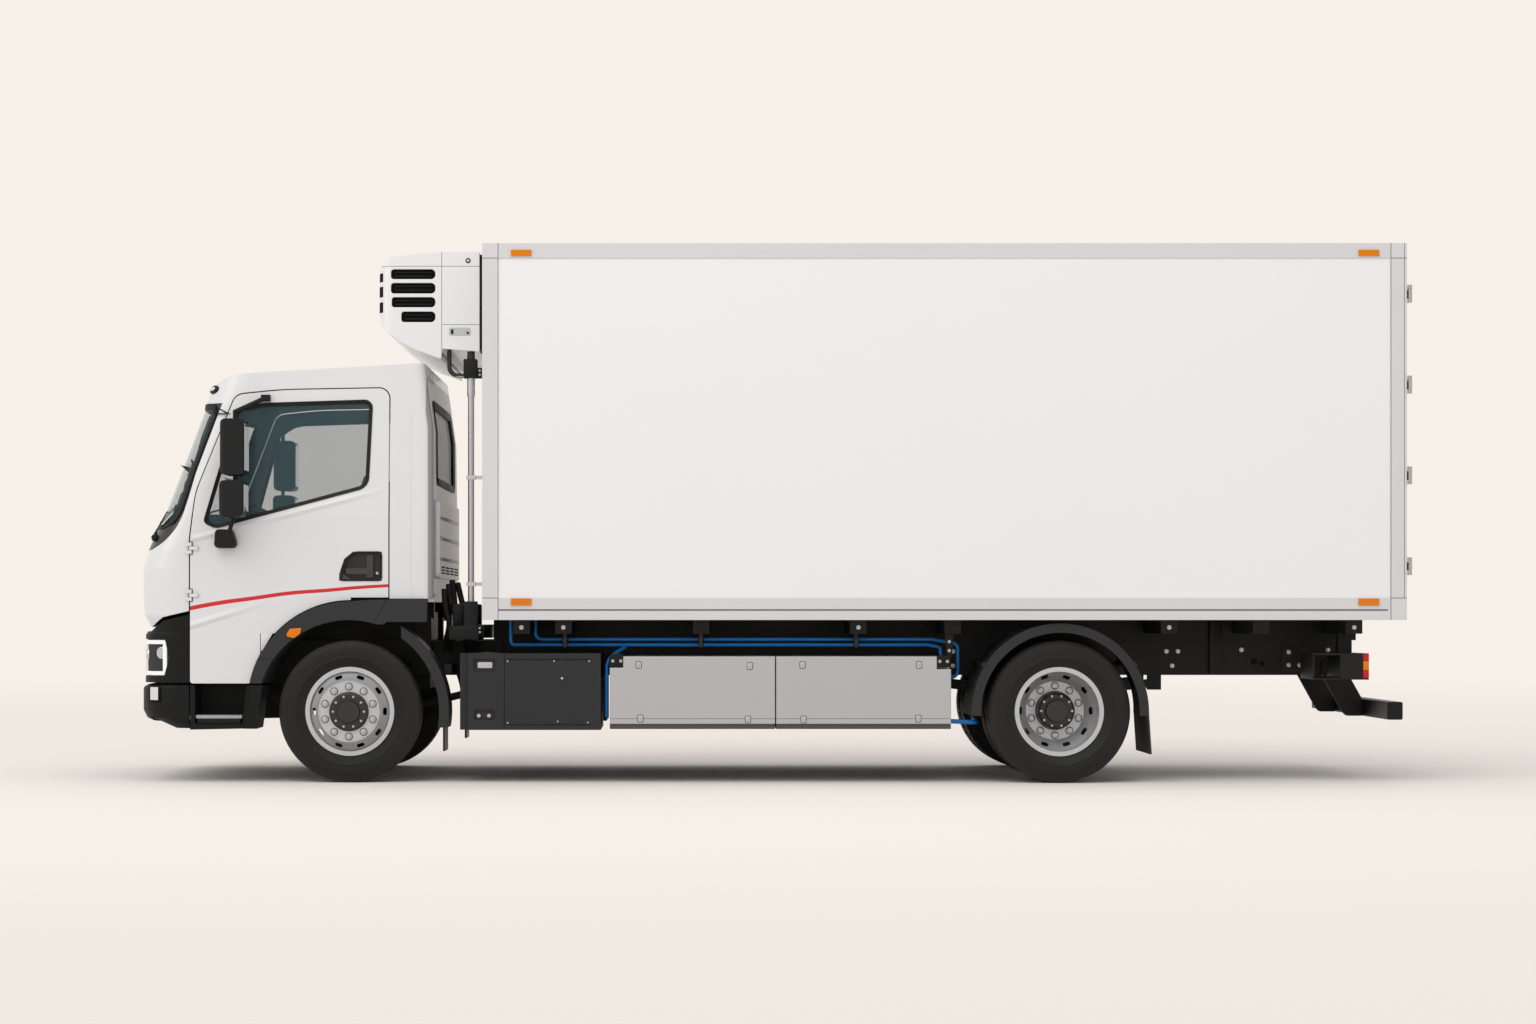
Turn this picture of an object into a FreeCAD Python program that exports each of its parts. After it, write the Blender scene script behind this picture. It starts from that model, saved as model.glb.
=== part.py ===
import FreeCAD, Part
import math
import os
from FreeCAD import Vector

# Refrigerated box truck with a tilting forward-control cab and an insulated body.
# Millimetres. X points rearwards, Y to the vehicle's right, Z up.
# The origin is on the ground in the middle of the overall length and width.

# Overall
OVERALL_LENGTH = 8550.0
FRONT_OVERHANG = 1469.0
WHEELBASE = 4750.0
NOSE_X = -OVERALL_LENGTH / 2
FRONT_AXLE_X = NOSE_X + FRONT_OVERHANG
REAR_AXLE_X = FRONT_AXLE_X + WHEELBASE
SEAT_GAP = 0.3          # between a piece and what carries it
RUN_GAP = 8.0           # between a moving panel and its frame
PIN_FIT = 0.05          # radial play of a pin in its bore

# Tyres and wheels
TYRE_RADIUS = 478.0
TYRE_WIDTH = 270.0
TYRE_SIDES = 48         # flats round a tyre
SHOULDER_RADIUS = 455.0
BELLY_RADIUS = 390.0
TREAD_WIDTH = 204.0
BEAD_RADIUS = 288.0
BEAD_WIDTH = 194.0
FLANGE_RADIUS = 298.0
RIM_RADIUS = 286.7
RIM_WIDTH = 210.0
BARREL_INNER = 268.0
DISC_FLAT_RADIUS = 205.0
DISC_BORE = 80.0
DISC_THICKNESS = 14.0
HUB_RADIUS = 130.0
HUB_PROUD = 26.0
HUB_CAP_RADIUS = 78.0
VENT_CIRCLE = 237.0
VENT_COUNT = 10
VENT_LENGTH = 52.0
VENT_WIDTH = 24.0
DRUM_RADIUS = 200.0
SPINDLE_RADIUS = 45.0
AXLE_Z = TYRE_RADIUS * math.cos(math.pi / TYRE_SIDES)
FRONT_TRACK = 2000.0
REAR_TRACK = 1830.0
DUAL_SPACING = 310.0
DISC_OFFSET = DUAL_SPACING / 2

# Steering
KINGPIN_SPREAD = 1740.0
KINGPIN_RADIUS = 25.0
KINGPIN_BOSS = 46.0
BEAM_EYE_HEIGHT = 76.0
EAR_GAP = 3.0
FORK_EAR = 24.0
STEER_ARM_LENGTH = 190.0
STEER_ARM_THICKNESS = 24.0
TIE_ROD_RADIUS = 18.0
TIE_PIN_RADIUS = 10.0
LOOSE_PIN_FIT = 5.5     # the tie rod's far end only follows

# Ladder frame
RAIL_OUTER_Y = 430.0
RAIL_TOP = 947.0
RAIL_HEIGHT = 241.0
RAIL_FLANGE = 75.0
RAIL_SHEET = 8.0
RAIL_FRONT_X = NOSE_X + 330.0
COUPLING_SPACING_Y = 160.0
COUPLING_SPACING_Z = 100.0
COUPLING_HOLE_RADIUS = 8.5

# Insulated body
REAR_HARDWARE = 32.0
CAB_ROOM = 2368.0       # from the nose to the body's front wall
BOX_WIDTH = 2550.0
BOX_HEIGHT = 2507.0
BOX_BOTTOM = 1090.0
BOX_FRONT_X = NOSE_X + CAB_ROOM
BOX_REAR_X = OVERALL_LENGTH / 2 - REAR_HARDWARE
BOX_TOP = BOX_BOTTOM + BOX_HEIGHT
RAIL_REAR_X = BOX_REAR_X - 178.0
PROFILE_SHEET = 5.0
CORNER_PROFILE = 106.0
BOTTOM_RAIL = 146.0
TOP_RAIL = 100.0
SIDE_WALL = 60.0
FRONT_WALL = 80.0
ROOF_THICKNESS = 80.0
FLOOR_THICKNESS = 105.0
REAR_POST = 70.0
LEAF_THICKNESS = 80.0
LEAF_RECESS = 25.0
HINGE_PIN_RADIUS = 6.0
HINGE_KNUCKLE_RADIUS = 12.0
HINGE_PIN_OUT = 10.0
HINGE_COUNT = 4
HINGE_STRAP_HEIGHT = 60.0
HINGE_STRAP_LENGTH = 250.0
HINGE_LUG_HEIGHT = 26.0
LOCK_ROD_RADIUS = 12.0

# Cab
CAB_HALF_WIDTH = 1150.0
CAB_REAR_X = NOSE_X + 2030.0
CAB_ROOF_Z = 2815.0
CAB_FLOOR_Z = 1250.0
CAB_FLOOR_THICKNESS = 40.0
CAB_WALL = 40.0
CAB_BOW_RADIUS = 8000.0
CAB_CORNER_RADIUS = 280.0
CAB_REAR_CORNER_RADIUS = 70.0
GLASS_INSET = 8.0
GLASS_THICKNESS = 8.0
DOOR_FRONT_X = NOSE_X + 405.0
DOOR_REAR_X = NOSE_X + 1732.0
DOOR_TOP_Z = 2647.0
DOOR_BOTTOM_Z = 665.0
DOOR_SKIN = 45.0
TILT_X = NOSE_X + 175.0
TILT_Z = 420.0
TILT_PIN_RADIUS = 20.0
TILT_BOSS_RADIUS = 36.0
TILT_ARM_Y = 520.0
TILT_ARM_THICKNESS = 40.0
CAB_BEAM_WIDTH = 60.0
CAB_BEAM_BOTTOM = 1100.0

# Wheel arch of the cab
ARCH_RADIUS = 612.0
ARCH_OUTER_RADIUS = 690.0
ARCH_OUTER_X = FRONT_AXLE_X + 11.0
ARCH_OUTER_Z = AXLE_Z + 56.0
ARCH_TRIM_Y = 1185.0
ARCH_TRIM_INNER_Y = 1080.0
ARCH_TRIM_TOP = 1232.0

# Gear along the frame's sides
BATTERY_OUT = 1200.0
BATTERY_Z0 = 362.0
BATTERY_Z1 = 846.0
BATTERY_FRONT_X = NOSE_X + 3215.0
BATTERY_REAR_X = REAR_AXLE_X - 726.0
BATTERY_SPLIT = 0.486   # share of the run that the front box takes
EQUIPMENT_OUT = 1180.0
LINE_RADIUS = 11.5
GUARD_RADIUS = 590.0
GUARD_Y0 = 620.0
GUARD_Y1 = 1240.0

# Room for cutting tools that pass right through a piece
WIDE = 1300.0
LOW = -100.0
HIGH = 4000.0


# Small tools

def block(x0, x1, y0, y1, z0, z1):
    return Part.makeBox(x1 - x0, y1 - y0, z1 - z0, Vector(x0, y0, z0))


def rod(radius, start, end):
    start, end = Vector(*start), Vector(*end)
    return Part.makeCylinder(radius, (end - start).Length, start, end - start)


def mirrored(shape):
    return shape.mirror(Vector(0, 0, 0), Vector(0, 1, 0))


def both_sides(shape):
    return [shape, mirrored(shape)]


def fused(shapes):
    whole = shapes[0].multiFuse(shapes[1:]) if len(shapes) > 1 else shapes[0]
    return whole.removeSplitter()


def shifted(points, distance):
    """The same outline further along its first axis."""
    return [(p[0] + distance, *p[1:]) for p in points]


def raised(points, distance):
    """The same outline further along its second axis."""
    return [(p[0], p[1] + distance, *p[2:]) for p in points]


def outline(points, margin=0.0):
    """Closed face in the XY plane. A point is (x, y) or (x, y, corner radius)."""
    corners = [Vector(p[0], p[1], 0) for p in points]
    radii = [p[2] if len(p) > 2 else 0 for p in points]
    arrive, leave, middle = [], [], []
    for i, corner in enumerate(corners):
        before = (corners[i - 1] - corner).normalize()
        after = (corners[(i + 1) % len(corners)] - corner).normalize()
        half = before.getAngle(after) / 2
        run = radii[i] / math.tan(half)
        arrive.append(corner + before * run)
        leave.append(corner + after * run)
        inward = (before + after).normalize()
        middle.append(corner + inward * (radii[i] / math.sin(half) - radii[i]))
    edges = []
    for i in range(len(corners)):
        if radii[i] > 0:
            edges.append(Part.Arc(arrive[i], middle[i], leave[i]).toShape())
        start, end = leave[i], arrive[(i + 1) % len(corners)]
        if (end - start).Length > 0.001:
            edges.append(Part.LineSegment(start, end).toShape())
    face = Part.Face(Part.Wire(edges))
    return face.makeOffset2D(margin) if margin else face


def side_prism(points, y0, y1, margin=0.0):
    """Outline in X and Z, carried from y0 to y1."""
    face = outline(points, margin)
    face.rotate(Vector(0, 0, 0), Vector(1, 0, 0), 90)
    face.translate(Vector(0, y0, 0))
    return face.extrude(Vector(0, y1 - y0, 0))


def front_prism(points, x0, x1, margin=0.0):
    """Outline in Y and Z, carried from x0 to x1."""
    face = outline(points, margin)
    face.rotate(Vector(0, 0, 0), Vector(1, 1, 1), 120)
    face.translate(Vector(x0, 0, 0))
    return face.extrude(Vector(x1 - x0, 0, 0))


def plan_prism(points, z0, z1):
    """Outline in X and Y, carried from z0 to z1."""
    face = outline(points)
    face.translate(Vector(0, 0, z0))
    return face.extrude(Vector(0, 0, z1 - z0))


def save(name, *solids):
    flat = [s for shape in solids for s in shape.Solids]
    for s in flat:
        if not s.isValid() or s.Volume <= 0:
            raise ValueError(f"{name} has a bad solid")
    shape = flat[0] if len(flat) == 1 else Part.makeCompound(flat)
    shape.exportStep(f"parts/{name}.step")
    print(f"{name}: {len(flat)} solids, {shape.Volume / 1e9:.4f} m3")


def save_pair(name, left_shape):
    """Writes a left piece and its mirror image as two nodes."""
    save(f"{name}_left", left_shape)
    save(f"{name}_right", mirrored(left_shape))


# Cab form

# Height, nose behind the foremost point, half width, rear wall behind the cab's rear
CAB_SECTIONS = [
    (600.0, 54, CAB_HALF_WIDTH, 0),
    (1041.0, 54, CAB_HALF_WIDTH, 0),
    (1123.0, 8, CAB_HALF_WIDTH, 0),
    (1279.0, 0, CAB_HALF_WIDTH, 0),
    (1432.0, 0, CAB_HALF_WIDTH, 0),
    (1560.0, 34, CAB_HALF_WIDTH, 0),
    (1784.0, 134, CAB_HALF_WIDTH - 5, 0),
    (2372.0, 354, CAB_HALF_WIDTH - 56, -5),
    (2850.0, 533, CAB_HALF_WIDTH - 98, -70),
]
WINDSCREEN_SLOPE = (533 - 134) / (2850 - 1784)
ROOF_FRONT_CORNER = (NOSE_X + 489, 2733.0, 400.0)
ROOF_REAR_CORNER = (CAB_REAR_X - 63, CAB_ROOF_Z + 3, 60.0)
PILLAR_RUN = 900.0


def cab_section(z, nose, half, rear, inset):
    """Plan section with a bowed front, round corners, flat sides and a flat rear."""
    nose, half, rear = nose + inset, half - inset, rear - inset
    bow, corner = CAB_BOW_RADIUS - inset, CAB_CORNER_RADIUS - inset
    back = CAB_REAR_CORNER_RADIUS - inset
    reach = math.sqrt((bow - corner) ** 2 - (half - corner) ** 2)
    side_x = nose + bow - reach
    tip_x = nose + bow - bow * reach / (bow - corner)
    tip_y = bow * (half - corner) / (bow - corner)
    mid = math.radians(135) - math.atan2(half - corner, reach) / 2
    mid_x = side_x + corner * math.cos(mid)
    mid_y = half - corner + corner * math.sin(mid)
    skew = back * math.cos(math.radians(45))

    def at(x, y):
        return Vector(x, y, z)

    return Part.Wire([
        Part.LineSegment(at(rear, half - back), at(rear, back - half)).toShape(),
        Part.Arc(at(rear, back - half), at(rear - back + skew, back - half - skew),
                 at(rear - back, -half)).toShape(),
        Part.LineSegment(at(rear - back, -half), at(side_x, -half)).toShape(),
        Part.Arc(at(side_x, -half), at(mid_x, -mid_y), at(tip_x, -tip_y)).toShape(),
        Part.Arc(at(tip_x, -tip_y), at(nose, 0), at(tip_x, tip_y)).toShape(),
        Part.Arc(at(tip_x, tip_y), at(mid_x, mid_y), at(side_x, half)).toShape(),
        Part.LineSegment(at(side_x, half), at(rear - back, half)).toShape(),
        Part.Arc(at(rear - back, half), at(rear - back + skew, half - back + skew),
                 at(rear, half - back)).toShape(),
    ])


def nose_form(rows, inset):
    """Loft of cab sections. A row is (height, distance behind the nose, half width)."""
    sections = [cab_section(z, NOSE_X + dx, half, CAB_REAR_X, inset) for z, dx, half in rows]
    return Part.makeLoft(sections, True, True)


def cab_form(inset):
    """The cab's outer shape, or the same shape drawn in by an inset."""
    sections = [cab_section(z, NOSE_X + front, half, CAB_REAR_X + rear, inset)
                for z, front, half, rear in CAB_SECTIONS]
    body = Part.makeLoft(sections, True, True)
    front_x, front_z, front_r = ROOF_FRONT_CORNER
    rear_x, rear_z, rear_r = ROOF_REAR_CORNER
    profile = [
        (NOSE_X - 300, 500.0),
        (CAB_REAR_X + 300, 500.0),
        (CAB_REAR_X + 300, rear_z - 40),
        (rear_x, rear_z, rear_r),
        (front_x, front_z, front_r),
        (front_x - WINDSCREEN_SLOPE * PILLAR_RUN, front_z - PILLAR_RUN),
        (NOSE_X - 300, front_z - PILLAR_RUN),
    ]
    return body.common(side_prism(profile, -WIDE, WIDE, -inset))


def skin_y(z):
    """Half width of the cab's skin at a height, for pieces that sit on it."""
    rows = [(row[0], row[2]) for row in CAB_SECTIONS]
    for (z0, h0), (z1, h1) in zip(rows, rows[1:]):
        if z0 <= z <= z1:
            return h0 + (h1 - h0) * (z - z0) / (z1 - z0)
    return rows[-1][1]


os.makedirs("parts", exist_ok=True)

# Ladder frame

RAIL_BOTTOM = RAIL_TOP - RAIL_HEIGHT
RAIL_INNER_Y = RAIL_OUTER_Y - RAIL_FLANGE
SPRING_Y = (RAIL_OUTER_Y + RAIL_INNER_Y) / 2
SIDE_GEAR_INNER = RAIL_OUTER_Y + 50
UNDERRUN_X0 = NOSE_X + 86
UNDERRUN_X1 = NOSE_X + 126
UNDERRUN_HALF = 600.0
UNDERRUN_Z0 = TILT_Z + 50
UNDERRUN_Z1 = TILT_Z + 130
CAB_REST_X = CAB_REAR_X - 110
FLOOR_BOTTOM = CAB_FLOOR_Z - CAB_FLOOR_THICKNESS
FRAME_CROSS_MEMBERS = (RAIL_FRONT_X + 60, BOX_FRONT_X - 150, NOSE_X + 3195, NOSE_X + 4075,
                       REAR_AXLE_X - 1244, REAR_AXLE_X - 644, REAR_AXLE_X + 616, RAIL_REAR_X - 765)


def channel_rail():
    whole = block(RAIL_FRONT_X, RAIL_REAR_X, RAIL_INNER_Y, RAIL_OUTER_Y, RAIL_BOTTOM, RAIL_TOP)
    return whole.cut(block(RAIL_FRONT_X - 1, RAIL_REAR_X + 1, RAIL_INNER_Y - 1, RAIL_OUTER_Y - RAIL_SHEET,
                           RAIL_BOTTOM + RAIL_SHEET, RAIL_TOP - RAIL_SHEET))


def cross_member(x):
    half = RAIL_OUTER_Y - RAIL_SHEET
    whole = block(x - 40, x + 40, -half, half, RAIL_BOTTOM + 35, RAIL_TOP - 35)
    return whole.cut(block(x - 32, x + 41, 12 - half, half - 12, RAIL_BOTTOM + 43, RAIL_TOP - 43))


def tilt_bracket():
    """Plate on the outside of a rail that carries the cab's tilt pin."""
    inner, outer = RAIL_OUTER_Y - 1, TILT_ARM_Y - TILT_ARM_THICKNESS / 2 - RUN_GAP
    head_y = TILT_ARM_Y + TILT_ARM_THICKNESS / 2 + 5
    plate = side_prism([(TILT_X - 30, TILT_Z - 45, 25), (TILT_X + 45, TILT_Z - 45, 25),
                        (RAIL_FRONT_X + 120, RAIL_BOTTOM, 30), (RAIL_FRONT_X + 330, RAIL_BOTTOM + 40),
                        (RAIL_FRONT_X + 330, RAIL_TOP - 40), (RAIL_FRONT_X + 20, RAIL_TOP - 40),
                        (TILT_X - 30, TILT_Z + 120, 60)], inner, outer)
    pin = rod(TILT_PIN_RADIUS, (TILT_X, outer - 1, TILT_Z), (TILT_X, head_y + 1, TILT_Z))
    head = rod(TILT_PIN_RADIUS + 10, (TILT_X, head_y, TILT_Z), (TILT_X, head_y + 8, TILT_Z))
    carrier = block(UNDERRUN_X1 - 1, TILT_X + 20, inner + 4, outer - 4, UNDERRUN_Z0, UNDERRUN_Z1 - 15)
    return [plate, pin, head, carrier]


def cab_rest():
    y0, y1 = TILT_ARM_Y - CAB_BEAM_WIDTH / 2, TILT_ARM_Y + CAB_BEAM_WIDTH / 2
    post = block(CAB_REST_X - 50, CAB_REST_X + 50, y0, y1, RAIL_TOP - 60, CAB_BEAM_BOTTOM - SEAT_GAP)
    foot = block(CAB_REST_X - 50, CAB_REST_X + 50, RAIL_OUTER_Y - 1, y1, RAIL_TOP - 110, RAIL_TOP - 40)
    return [post, foot]


def tail_plate():
    """Rear cross plate with the coupling's hole pattern."""
    plate = block(RAIL_REAR_X - 12, RAIL_REAR_X, -RAIL_OUTER_Y, RAIL_OUTER_Y, RAIL_BOTTOM, RAIL_TOP)
    middle = RAIL_TOP - RAIL_HEIGHT / 2
    for y in (-COUPLING_SPACING_Y / 2, COUPLING_SPACING_Y / 2):
        for dz in (-COUPLING_SPACING_Z / 2, COUPLING_SPACING_Z / 2):
            plate = plate.cut(rod(COUPLING_HOLE_RADIUS, (RAIL_REAR_X - 20, y, middle + dz),
                                  (RAIL_REAR_X + 5, y, middle + dz)))
    return plate


frame_bits = both_sides(channel_rail())
for member_x in FRAME_CROSS_MEMBERS:
    frame_bits.append(cross_member(member_x))
for bit in tilt_bracket() + cab_rest():
    frame_bits += both_sides(bit)
frame_bits.append(block(UNDERRUN_X0, UNDERRUN_X1, -UNDERRUN_HALF, UNDERRUN_HALF, UNDERRUN_Z0, UNDERRUN_Z1))
frame_bits.append(tail_plate())
save("chassis_frame", fused(frame_bits))


# Subframe under the insulated body

SUB_TOP = BOX_BOTTOM - SEAT_GAP
CROSS_BEAM_BOTTOM = 998.0
CROSS_BEAM_REACH = BOX_WIDTH / 2 - 80
CROSS_BEAM_HALF = 55.0
CROSS_BEAM_SHEET = 8.0
CROSS_BEAMS = (BOX_FRONT_X + 257, BOX_FRONT_X + 537, BOX_FRONT_X + 1457, BOX_FRONT_X + 2507,
               BOX_FRONT_X + 3137, BOX_REAR_X - 1568, BOX_REAR_X - 953, BOX_REAR_X - 333)


def cross_beam(x):
    """Beam across the frame, open underneath outside the rails."""
    beam = block(x - CROSS_BEAM_HALF, x + CROSS_BEAM_HALF, -CROSS_BEAM_REACH, CROSS_BEAM_REACH,
                 CROSS_BEAM_BOTTOM, SUB_TOP)
    inner = CROSS_BEAM_HALF - CROSS_BEAM_SHEET
    room = block(x - inner, x + inner, RAIL_OUTER_Y + 20, CROSS_BEAM_REACH - 12,
                 CROSS_BEAM_BOTTOM - 1, SUB_TOP - CROSS_BEAM_SHEET)
    return beam.cut(room).cut(mirrored(room))


runner = block(BOX_FRONT_X + 25, BOX_REAR_X - 150, RAIL_INNER_Y, RAIL_OUTER_Y, RAIL_TOP + SEAT_GAP, SUB_TOP)
save("body_subframe", fused(both_sides(runner) + [cross_beam(x) for x in CROSS_BEAMS]))


# Power unit, one plain block

POWER_FRONT_X = NOSE_X + 775
POWER_REAR_X = NOSE_X + 1945
power_bits = [block(POWER_FRONT_X, POWER_REAR_X, 20 - RAIL_INNER_Y, RAIL_INNER_Y - 20, 610, 1140)]
for bracket_x in (POWER_FRONT_X + 150, POWER_REAR_X - 230):
    reach_y = RAIL_OUTER_Y - RAIL_SHEET - SEAT_GAP
    power_bits.append(block(bracket_x - 40, bracket_x + 40, -reach_y, reach_y, RAIL_BOTTOM + 30, RAIL_TOP - 30))
save("power_unit", fused(power_bits))


# Front axle

BEAM_HALF = 45.0
BEAM_TOP = 430.0
BEAM_BELLY = 340.0
BEAM_DROP_Y = 600.0
KINGPIN_Y = KINGPIN_SPREAD / 2
EYE_LOW = AXLE_Z - BEAM_EYE_HEIGHT / 2
EYE_HIGH = AXLE_Z + BEAM_EYE_HEIGHT / 2
half_beam = [(KINGPIN_Y - 20, EYE_LOW), (KINGPIN_Y - 20, EYE_HIGH), (KINGPIN_Y - 90, EYE_HIGH - 4),
             (BEAM_DROP_Y - 60, BEAM_TOP)]
other_half = [(-y, z) for y, z in reversed(half_beam)]
underside = [(-KINGPIN_Y + 95, EYE_LOW), (-BEAM_DROP_Y, BEAM_BELLY), (BEAM_DROP_Y, BEAM_BELLY),
             (KINGPIN_Y - 95, EYE_LOW)]
axle_bits = [front_prism(half_beam + other_half + underside, FRONT_AXLE_X - BEAM_HALF, FRONT_AXLE_X + BEAM_HALF)]
for pin_y in (-KINGPIN_Y, KINGPIN_Y):
    pin_end = FORK_EAR + EAR_GAP + 2
    axle_bits.append(rod(KINGPIN_BOSS, (FRONT_AXLE_X, pin_y, EYE_LOW), (FRONT_AXLE_X, pin_y, EYE_HIGH)))
    axle_bits.append(rod(KINGPIN_RADIUS, (FRONT_AXLE_X, pin_y, EYE_LOW - pin_end),
                         (FRONT_AXLE_X, pin_y, EYE_HIGH + pin_end)))
save("front_axle_beam", fused(axle_bits))


# Steering knuckles and tie rod

SPINDLE_END = FRONT_TRACK / 2 + 105
ARM_TOP = EYE_LOW - EAR_GAP - FORK_EAR
ARM_BOTTOM = ARM_TOP - STEER_ARM_THICKNESS
TIE_Z = ARM_BOTTOM - 24
TIE_X = FRONT_AXLE_X + STEER_ARM_LENGTH
TIE_EYE_HALF = 19.0


def knuckle():
    """Right-hand knuckle: two ears round the beam's eye, spindle and steering arm."""
    x, y, z = FRONT_AXLE_X, KINGPIN_Y, AXLE_Z
    low, high = EYE_LOW - EAR_GAP, EYE_HIGH + EAR_GAP
    plate_y = y + KINGPIN_BOSS + 5
    bits = [block(x - 58, x + 58, plate_y, plate_y + 17, z - 80, z + 80)]
    for z0, z1 in ((low - FORK_EAR, low), (high, high + FORK_EAR)):
        bits.append(rod(KINGPIN_BOSS, (x, y, z0), (x, y, z1)))
        bits.append(block(x - 40, x + 40, y, plate_y + 5, z0, z1))
    bits.append(rod(SPINDLE_RADIUS, (x, plate_y + 5, z), (x, SPINDLE_END, z)))
    bits.append(rod(40, (x, y, ARM_BOTTOM), (x, y, ARM_TOP + 2)))
    bits.append(block(x, TIE_X, y - 22, y + 22, ARM_BOTTOM, ARM_TOP))
    bits.append(rod(24, (TIE_X, y, ARM_BOTTOM), (TIE_X, y, ARM_TOP)))
    bits.append(rod(TIE_PIN_RADIUS, (TIE_X, y, TIE_Z - TIE_EYE_HALF - 7), (TIE_X, y, ARM_TOP)))
    bore = rod(KINGPIN_RADIUS + PIN_FIT, (x, y, z - 200), (x, y, z + 200))
    return fused(bits).cut(bore)


save_pair("knuckle", mirrored(knuckle()))

tie_bits = [rod(TIE_ROD_RADIUS, (TIE_X, 10 - KINGPIN_Y, TIE_Z), (TIE_X, KINGPIN_Y - 14, TIE_Z))]
for pin_y in (-KINGPIN_Y, KINGPIN_Y):
    tie_bits.append(rod(23, (TIE_X, pin_y, TIE_Z - TIE_EYE_HALF), (TIE_X, pin_y, TIE_Z + TIE_EYE_HALF)))
tie_rod = fused(tie_bits)
for pin_y, play in ((-KINGPIN_Y, PIN_FIT), (KINGPIN_Y, LOOSE_PIN_FIT)):
    tie_rod = tie_rod.cut(rod(TIE_PIN_RADIUS + play, (TIE_X, pin_y, 0), (TIE_X, pin_y, TIE_Z + 200)))
save("tie_rod", tie_rod)


# Rear axle

REAR_HUB_Y = REAR_TRACK / 2
REAR_SPINDLE = 55.0
REAR_SPINDLE_END = REAR_HUB_Y + 90
REAR_SPRING_BOTTOM = 562.0
rear_bits = [
    rod(70, (REAR_AXLE_X, 215 - REAR_HUB_Y, AXLE_Z), (REAR_AXLE_X, REAR_HUB_Y - 215, AXLE_Z)),
    rod(REAR_SPINDLE, (REAR_AXLE_X, -REAR_SPINDLE_END, AXLE_Z), (REAR_AXLE_X, REAR_SPINDLE_END, AXLE_Z)),
    rod(185, (REAR_AXLE_X, -110, AXLE_Z), (REAR_AXLE_X, 110, AXLE_Z)),
    rod(150, (REAR_AXLE_X - 380, 0, AXLE_Z + 20), (REAR_AXLE_X - 100, 0, AXLE_Z)),
]
for spring_y in (-SPRING_Y, SPRING_Y):
    rear_bits.append(block(REAR_AXLE_X - 80, REAR_AXLE_X + 80, spring_y - 45, spring_y + 45,
                           AXLE_Z - 30, REAR_SPRING_BOTTOM - SEAT_GAP))
save("rear_axle", fused(rear_bits))


# Leaf springs with their hangers

FRONT_SPRING = {"reach": 770.0, "rise": 130.0, "thick": 45.0, "width": 72.0}
REAR_SPRING = {"reach": 760.0, "rise": 62.0, "thick": 58.0, "width": 80.0}


def leaf_spring(x, bottom, form):
    reach, rise, half = form["reach"], form["rise"], form["width"] / 2
    low = [(x - reach, bottom + rise), (x - reach / 2, bottom + rise * 0.3), (x - 110, bottom),
           (x + 110, bottom), (x + reach / 2, bottom + rise * 0.3), (x + reach, bottom + rise)]
    high = [(px, pz + form["thick"]) for px, pz in reversed(low)]
    bits = [side_prism(low + high, SPRING_Y - half, SPRING_Y + half)]
    for end in (-1, 1):
        x0, x1 = sorted((x + end * (reach - 50), x + end * (reach + 40)))
        bits.append(block(x0, x1, SPRING_Y - half + 8, SPRING_Y + half - 8, bottom + rise - 20,
                          RAIL_BOTTOM - SEAT_GAP))
    return fused(bits)


save("leaf_springs", *both_sides(leaf_spring(FRONT_AXLE_X, BEAM_TOP + SEAT_GAP, FRONT_SPRING)),
     *both_sides(leaf_spring(REAR_AXLE_X, REAR_SPRING_BOTTOM, REAR_SPRING)))


# Wheels

def ring_of_flats(profile, sides):
    """Closed ring round Y. The profile holds (radius at a corner, offset along Y)."""
    rings = []
    for radius, offset in profile:
        turns = [math.radians(360) * (k + 0.5) / sides for k in range(sides)]
        rings.append([Vector(radius * math.sin(a), offset, -radius * math.cos(a)) for a in turns])
    faces = []
    for i, ring in enumerate(rings):
        other = rings[(i + 1) % len(rings)]
        for k in range(sides):
            n = (k + 1) % sides
            faces.append(Part.Face(Part.makePolygon([ring[k], ring[n], other[n], other[k], ring[k]])))
    solid = Part.makeSolid(Part.makeShell(faces))
    if solid.Volume < 0:
        solid.reverse()
    return solid


def tyre():
    half = [(TYRE_RADIUS, TREAD_WIDTH / 2), (SHOULDER_RADIUS, TYRE_WIDTH / 2 - 8), (BELLY_RADIUS, TYRE_WIDTH / 2),
            (FLANGE_RADIUS + 2, BEAD_WIDTH / 2), (BEAD_RADIUS, BEAD_WIDTH / 2)]
    back = [(r, -w) for r, w in reversed(half)]
    return ring_of_flats(half + back, TYRE_SIDES)


def turned(points):
    """Solid turned round Y. The points are (offset along Y, radius)."""
    wire = Part.makePolygon([Vector(r, y, 0) for y, r in points + points[:1]])
    return Part.Face(wire).revolve(Vector(0, 0, 0), Vector(0, 1, 0), 360)


def vent(turn):
    half = (VENT_LENGTH - VENT_WIDTH) / 2
    slot = block(-half, half, 20, 200, VENT_CIRCLE - VENT_WIDTH / 2, VENT_CIRCLE + VENT_WIDTH / 2)
    for end in (-half, half):
        slot = slot.fuse(rod(VENT_WIDTH / 2, (end, 20, VENT_CIRCLE), (end, 200, VENT_CIRCLE)))
    slot.rotate(Vector(0, 0, 0), Vector(0, 1, 0), turn)
    return slot


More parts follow.
